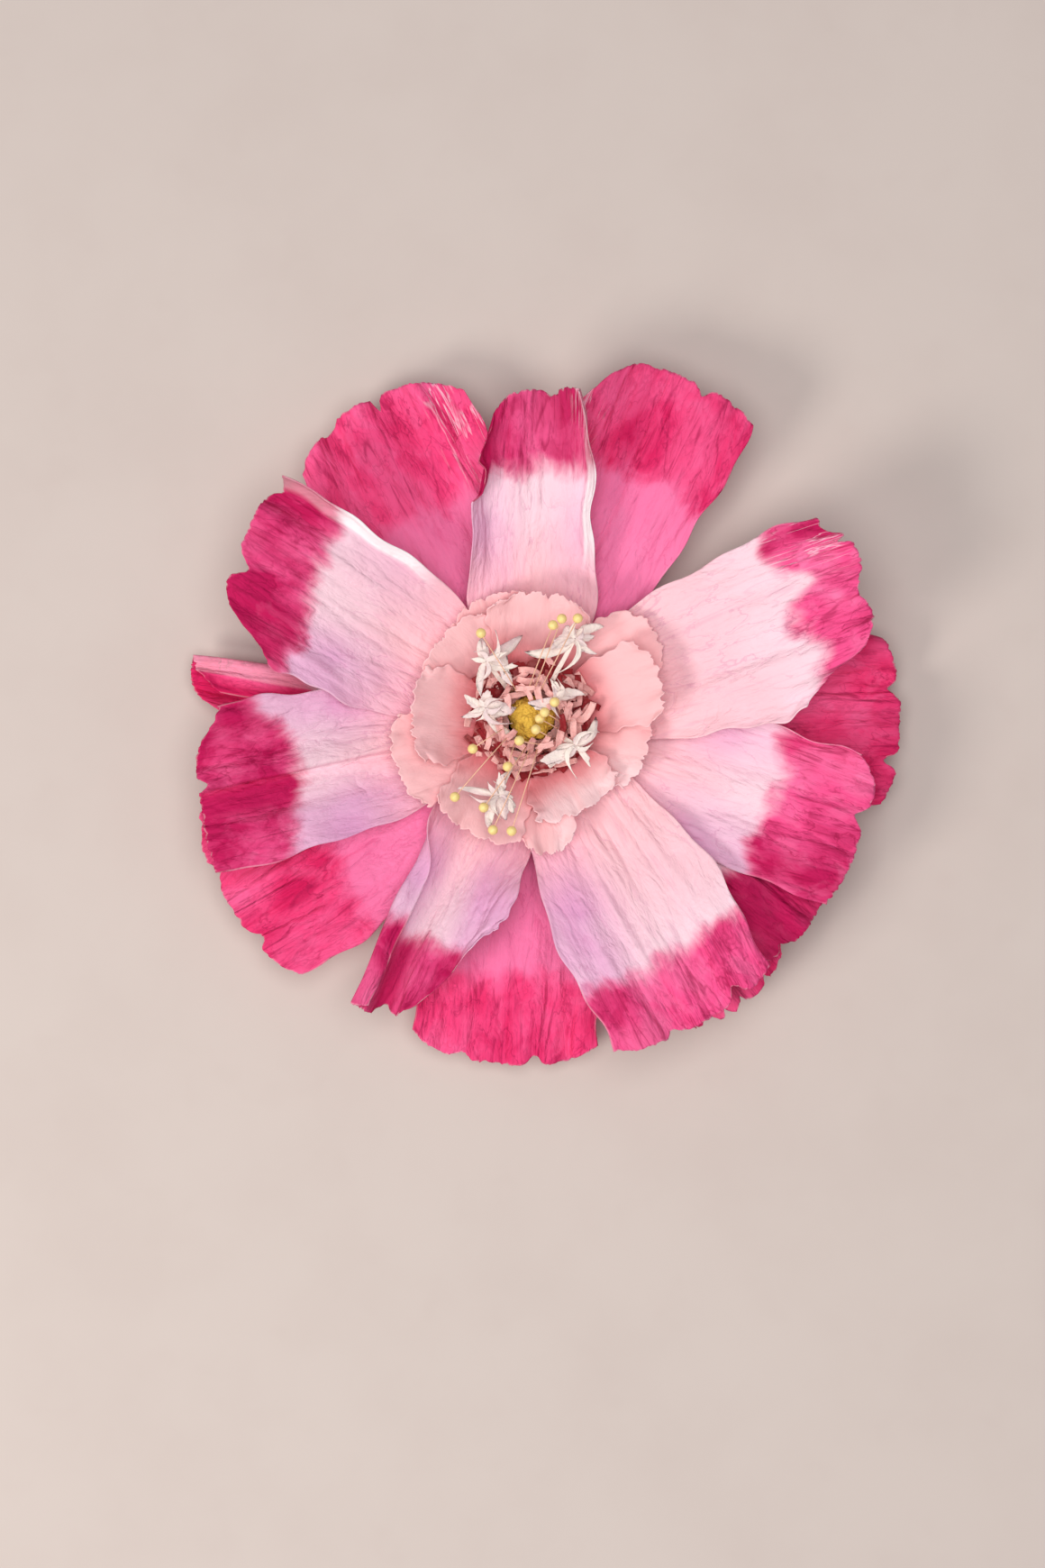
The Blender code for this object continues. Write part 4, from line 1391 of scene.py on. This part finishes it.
@dataclass
class Tufts:
    """The ragged tissue tufts that arch over the fringe, each a torn star with strands on one stalk."""

    stalk_half_width: float = 0.0010
    strand_half_width: float = 0.0012
    lobe_half_width: float = 0.0020
    body_radius: float = 0.0019
    spacing: float = 0.0008
    around: int = 120
    outwards: int = 10
    sweep: float = 38.0
    torn: float = 0.24
    cockle: float = 0.0006
    droop: float = 0.0011
    strand_turn: float = 30.0
    strand_share: float = 0.8
    strand_sway: float = 55.0
    strand_arch: float = 0.32
    thickness: float = PAPER * 0.5
    tufts: tuple[Tuft, ...] = (
        Tuft(129, 0.0300, 0.0168,
             ((24, 0.017), (-6, 0.013), (-32, 0.011), (90, 0.008), (140, 0.008), (236, 0.013))),
        Tuft(168, 0.0195, 0.0140,
             ((14, 0.010), (-36, 0.010), (165, 0.009), (222, 0.008), (281, 0.016), (95, 0.006))),
        Tuft(61, 0.0372, 0.0172,
             ((171, 0.009), (58, 0.012), (5, 0.007), (-66, 0.009), (228, 0.021), (120, 0.005))),
        Tuft(38, 0.0138, 0.0120, ((226, 0.011), (84, 0.006), (0, 0.007), (42, 0.010))),
        Tuft(-32, 0.0218, 0.0140, ((18, 0.014), (-40, 0.009), (60, 0.006), (183, 0.014), (221, 0.017))),
        Tuft(247, 0.0350, 0.0172,
             ((101, 0.009), (164, 0.015), (59, 0.008), (-12, 0.007), (-77, 0.009), (225, 0.012))),
    )

    def build(self) -> list[bpy.types.Object]:
        """Builds the tufts.

        Returns:
            One piece for each.
        """
        material = TISSUE.make()
        pieces = []
        for number, tuft in enumerate(self.tufts, start=1):
            bm = bmesh.new()
            tone_and_shade = bm.verts.layers.float.new("tone_and_shade")
            centre = polar(tuft.azimuth, tuft.radius, hub_top() + tuft.height)
            self._star(bm, tone_and_shade, centre, tuft.limbs, number * 7.0)
            for index, (azimuth, length) in enumerate(tuft.limbs):
                way, reach = azimuth + self.strand_turn, length * self.strand_share
                self._strand(bm, tone_and_shade, centre, way, reach, number * 5 + index)
            foot = polar(tuft.azimuth, TUFT_RING, hub_top() + GLUE_GAP)
            knee = polar(tuft.azimuth, (TUFT_RING + tuft.radius) / 2, centre.z)
            ribbon(bm, curve(foot, knee, centre - Vector((0, 0, PAPER)), 8), self.stalk_half_width, 0.3)
            node = f"white_tuft_{number}"
            pieces.append(add_piece(f"{node}_tissue", node, bm, [material], self.thickness))
        return pieces

    def _star(
        self, bm: bmesh.types.BMesh, tone_and_shade: bmesh.types.BMLayerItem, centre: Vector,
        limbs: tuple[tuple[float, float], ...], seed: float,
    ) -> None:
        """Adds a sheet torn into a star, with one creased and curled point for each limb.

        Args:
            bm: The tuft's mesh.
            tone_and_shade: The layer that holds how grey the tissue is.
            centre: The star's middle.
            limbs: The azimuth and length of each point.
            seed: Which irregularities it gets.
        """
        made = bmesh.ops.create_grid(bm, x_segments=self.around, y_segments=self.outwards, size=1.0)["verts"]
        for vertex in made:
            azimuth, share = (1 - vertex.co.x) * 180, (vertex.co.y + 1) / 2
            reach, bend, lift, grey = self.body_radius, 0.0, 0.0, 0.4
            for index, (toward, length) in enumerate(limbs):
                half_width = self.lobe_half_width * (1 + 0.4 * math.sin(seed + index))
                spread = math.degrees(half_width / ((self.body_radius + length / 2) * 0.35))
                apart = ((azimuth - toward + 180) % 360 - 180) / spread
                inside = 1 - abs(apart)
                if inside > 0 and self.body_radius + length * inside**1.6 > reach:
                    reach = self.body_radius + length * inside**1.6
                    bend = self.sweep * math.sin(seed * 1.3 + index * 2.1) * inside
                    lift = length * (0.30 * math.sin(seed * 0.7 + index * 1.9) - 0.05) * inside
                    lift -= self.droop * abs(apart)
                    # Painted shade: one half of each point is greyer than the other
                    grey = 0.5 + 0.5 * math.sin(seed + index * 2.3 + math.copysign(0.7, apart))
            ragged = 1 + self.torn * noise.noise(polar(azimuth, 9.0, seed))
            cockle = self.cockle * noise.noise((reach * share * 220, azimuth / 40, seed))
            way = polar(azimuth + bend * share**2, reach * share * ragged)
            vertex.co = centre + way + Vector((0, 0, lift * share**2 + cockle * share))
            # The painted shade grows towards the points
            vertex[tone_and_shade] = grey * share
        bmesh.ops.remove_doubles(bm, verts=made, dist=WELD)

    def _strand(
        self, bm: bmesh.types.BMesh, tone_and_shade: bmesh.types.BMLayerItem, centre: Vector, azimuth: float,
        length: float, seed: int,
    ) -> None:
        """Adds one narrow strand that winds out from the tuft's middle to a point.

        Args:
            bm: The tuft's mesh.
            tone_and_shade: The layer that holds how grey the tissue is.
            centre: The tuft's middle.
            azimuth: The way it sets out, in degrees.
            length: Its length.
            seed: Which bend it gets.
        """
        sway = self.strand_sway * math.sin(seed * 2.1)
        start = centre + Vector((0, 0, self.spacing))
        knee = centre + polar(azimuth + sway, length * 0.6, self.spacing + self.strand_arch * length)
        end = centre + polar(azimuth - sway * 0.4, length, 0.25 * length * math.sin(seed * 1.3))
        path = curve(start, knee, end, 14)
        # Each strand gets its own grey of painted shade
        for vertex in ribbon(bm, path, self.strand_half_width, 1.1 * math.sin(seed * 1.7), point=True):
            vertex[tone_and_shade] = 0.5 + 0.5 * math.sin(seed * 1.9)


@dataclass
class Stage:
    """The pale floor, the light and the camera."""

    floor_size: float = 6.0
    view_centre: tuple[float, float] = (-0.00375, -0.0274)
    view_height: float = 0.652
    lens: float = 85.0
    sensor: float = 36.0
    focus_height: float = 0.030
    lit_height: float = 0.02
    room_colour: tuple[float, float, float, float] = (0.96, 0.94, 1.0, 1.0)
    room_light: float = 0.20

    def build(self) -> None:
        """Lays the floor, hangs the lamps and sets the camera."""
        self._floor()
        self._lamps()
        self._camera()

    def _floor(self) -> None:
        """Lays the floor that the flower lies on."""
        bm = bmesh.new()
        bmesh.ops.create_grid(bm, x_segments=1, y_segments=1, size=self.floor_size / 2)
        mesh = bpy.data.meshes.new("floor")
        bm.to_mesh(mesh)
        bm.free()
        floor = bpy.data.objects.new("floor", mesh)
        bpy.context.scene.collection.objects.link(floor)
        mesh.materials.append(FLOOR.make())

    def _lamps(self) -> None:
        """Hangs a soft warm lamp to the lower left, a wide one overhead, and lights the room a little."""
        self._lamp("window", place=(-1.10, -0.75, 1.15), size=0.6, watts=13.0, colour=(1.0, 0.95, 0.90))
        self._lamp("ceiling", place=(0.0, 0.0, 2.2), size=1.6, watts=34.0, colour=(1.0, 0.98, 0.97))
        world = bpy.data.worlds.new("room")
        bpy.context.scene.world = world
        world.use_nodes = True
        background = world.node_tree.nodes["Background"]
        background.inputs["Color"].default_value = self.room_colour
        background.inputs["Strength"].default_value = self.room_light

    def _lamp(
        self, name: str, place: tuple[float, float, float], size: float, watts: float, colour: Colour
    ) -> None:
        """Hangs one round lamp that faces the flower.

        Args:
            name: Its name.
            place: Where it hangs.
            size: Its width.
            watts: Its power.
            colour: Its light.
        """
        lamp = bpy.data.lights.new(name, "AREA")
        lamp.shape = "DISK"
        lamp.size = size
        lamp.energy = watts
        lamp.color = colour
        hung = bpy.data.objects.new(name, lamp)
        bpy.context.scene.collection.objects.link(hung)
        hung.location = place
        ahead = Vector((0, 0, self.lit_height)) - hung.location
        hung.rotation_euler = ahead.to_track_quat("-Z", "Y").to_euler()

    def _camera(self) -> None:
        """Sets the camera straight above the flower."""
        data = bpy.data.cameras.new("view")
        data.lens = self.lens
        data.sensor_width = self.sensor
        camera = bpy.data.objects.new("view", data)
        bpy.context.scene.collection.objects.link(camera)
        distance = self.lens / self.sensor * self.view_height
        camera.location = (*self.view_centre, self.focus_height + distance)
        data.clip_end = 20.0
        bpy.context.scene.camera = camera
        bpy.context.scene.view_settings.view_transform = "Standard"


@dataclass
class CardDisc:
    """The round card under the flower, whose solid is shown as it is."""

    node: str = "backing_disc"

    def build(self) -> bpy.types.Object:
        """Gives the card its finish.

        Returns:
            The disc.
        """
        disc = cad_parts[self.node]
        disc.data.materials.clear()
        disc.data.materials.append(CARD.make())
        return disc


def main() -> None:
    """Builds the flower and its stage."""
    logging.basicConfig(level=logging.INFO, format="%(message)s")
    pieces = [CardDisc().build(), *Corolla().build(), *Fringe().build(), Pistil().build()]
    pieces += [*Tufts().build(), *Stamens().build()]
    for piece in pieces:
        log.info("%s: %d faces", piece.name, len(piece.data.polygons))
    Stage().build()
    bpy.context.view_layer.update()


if __name__ == "__main__":
    main()
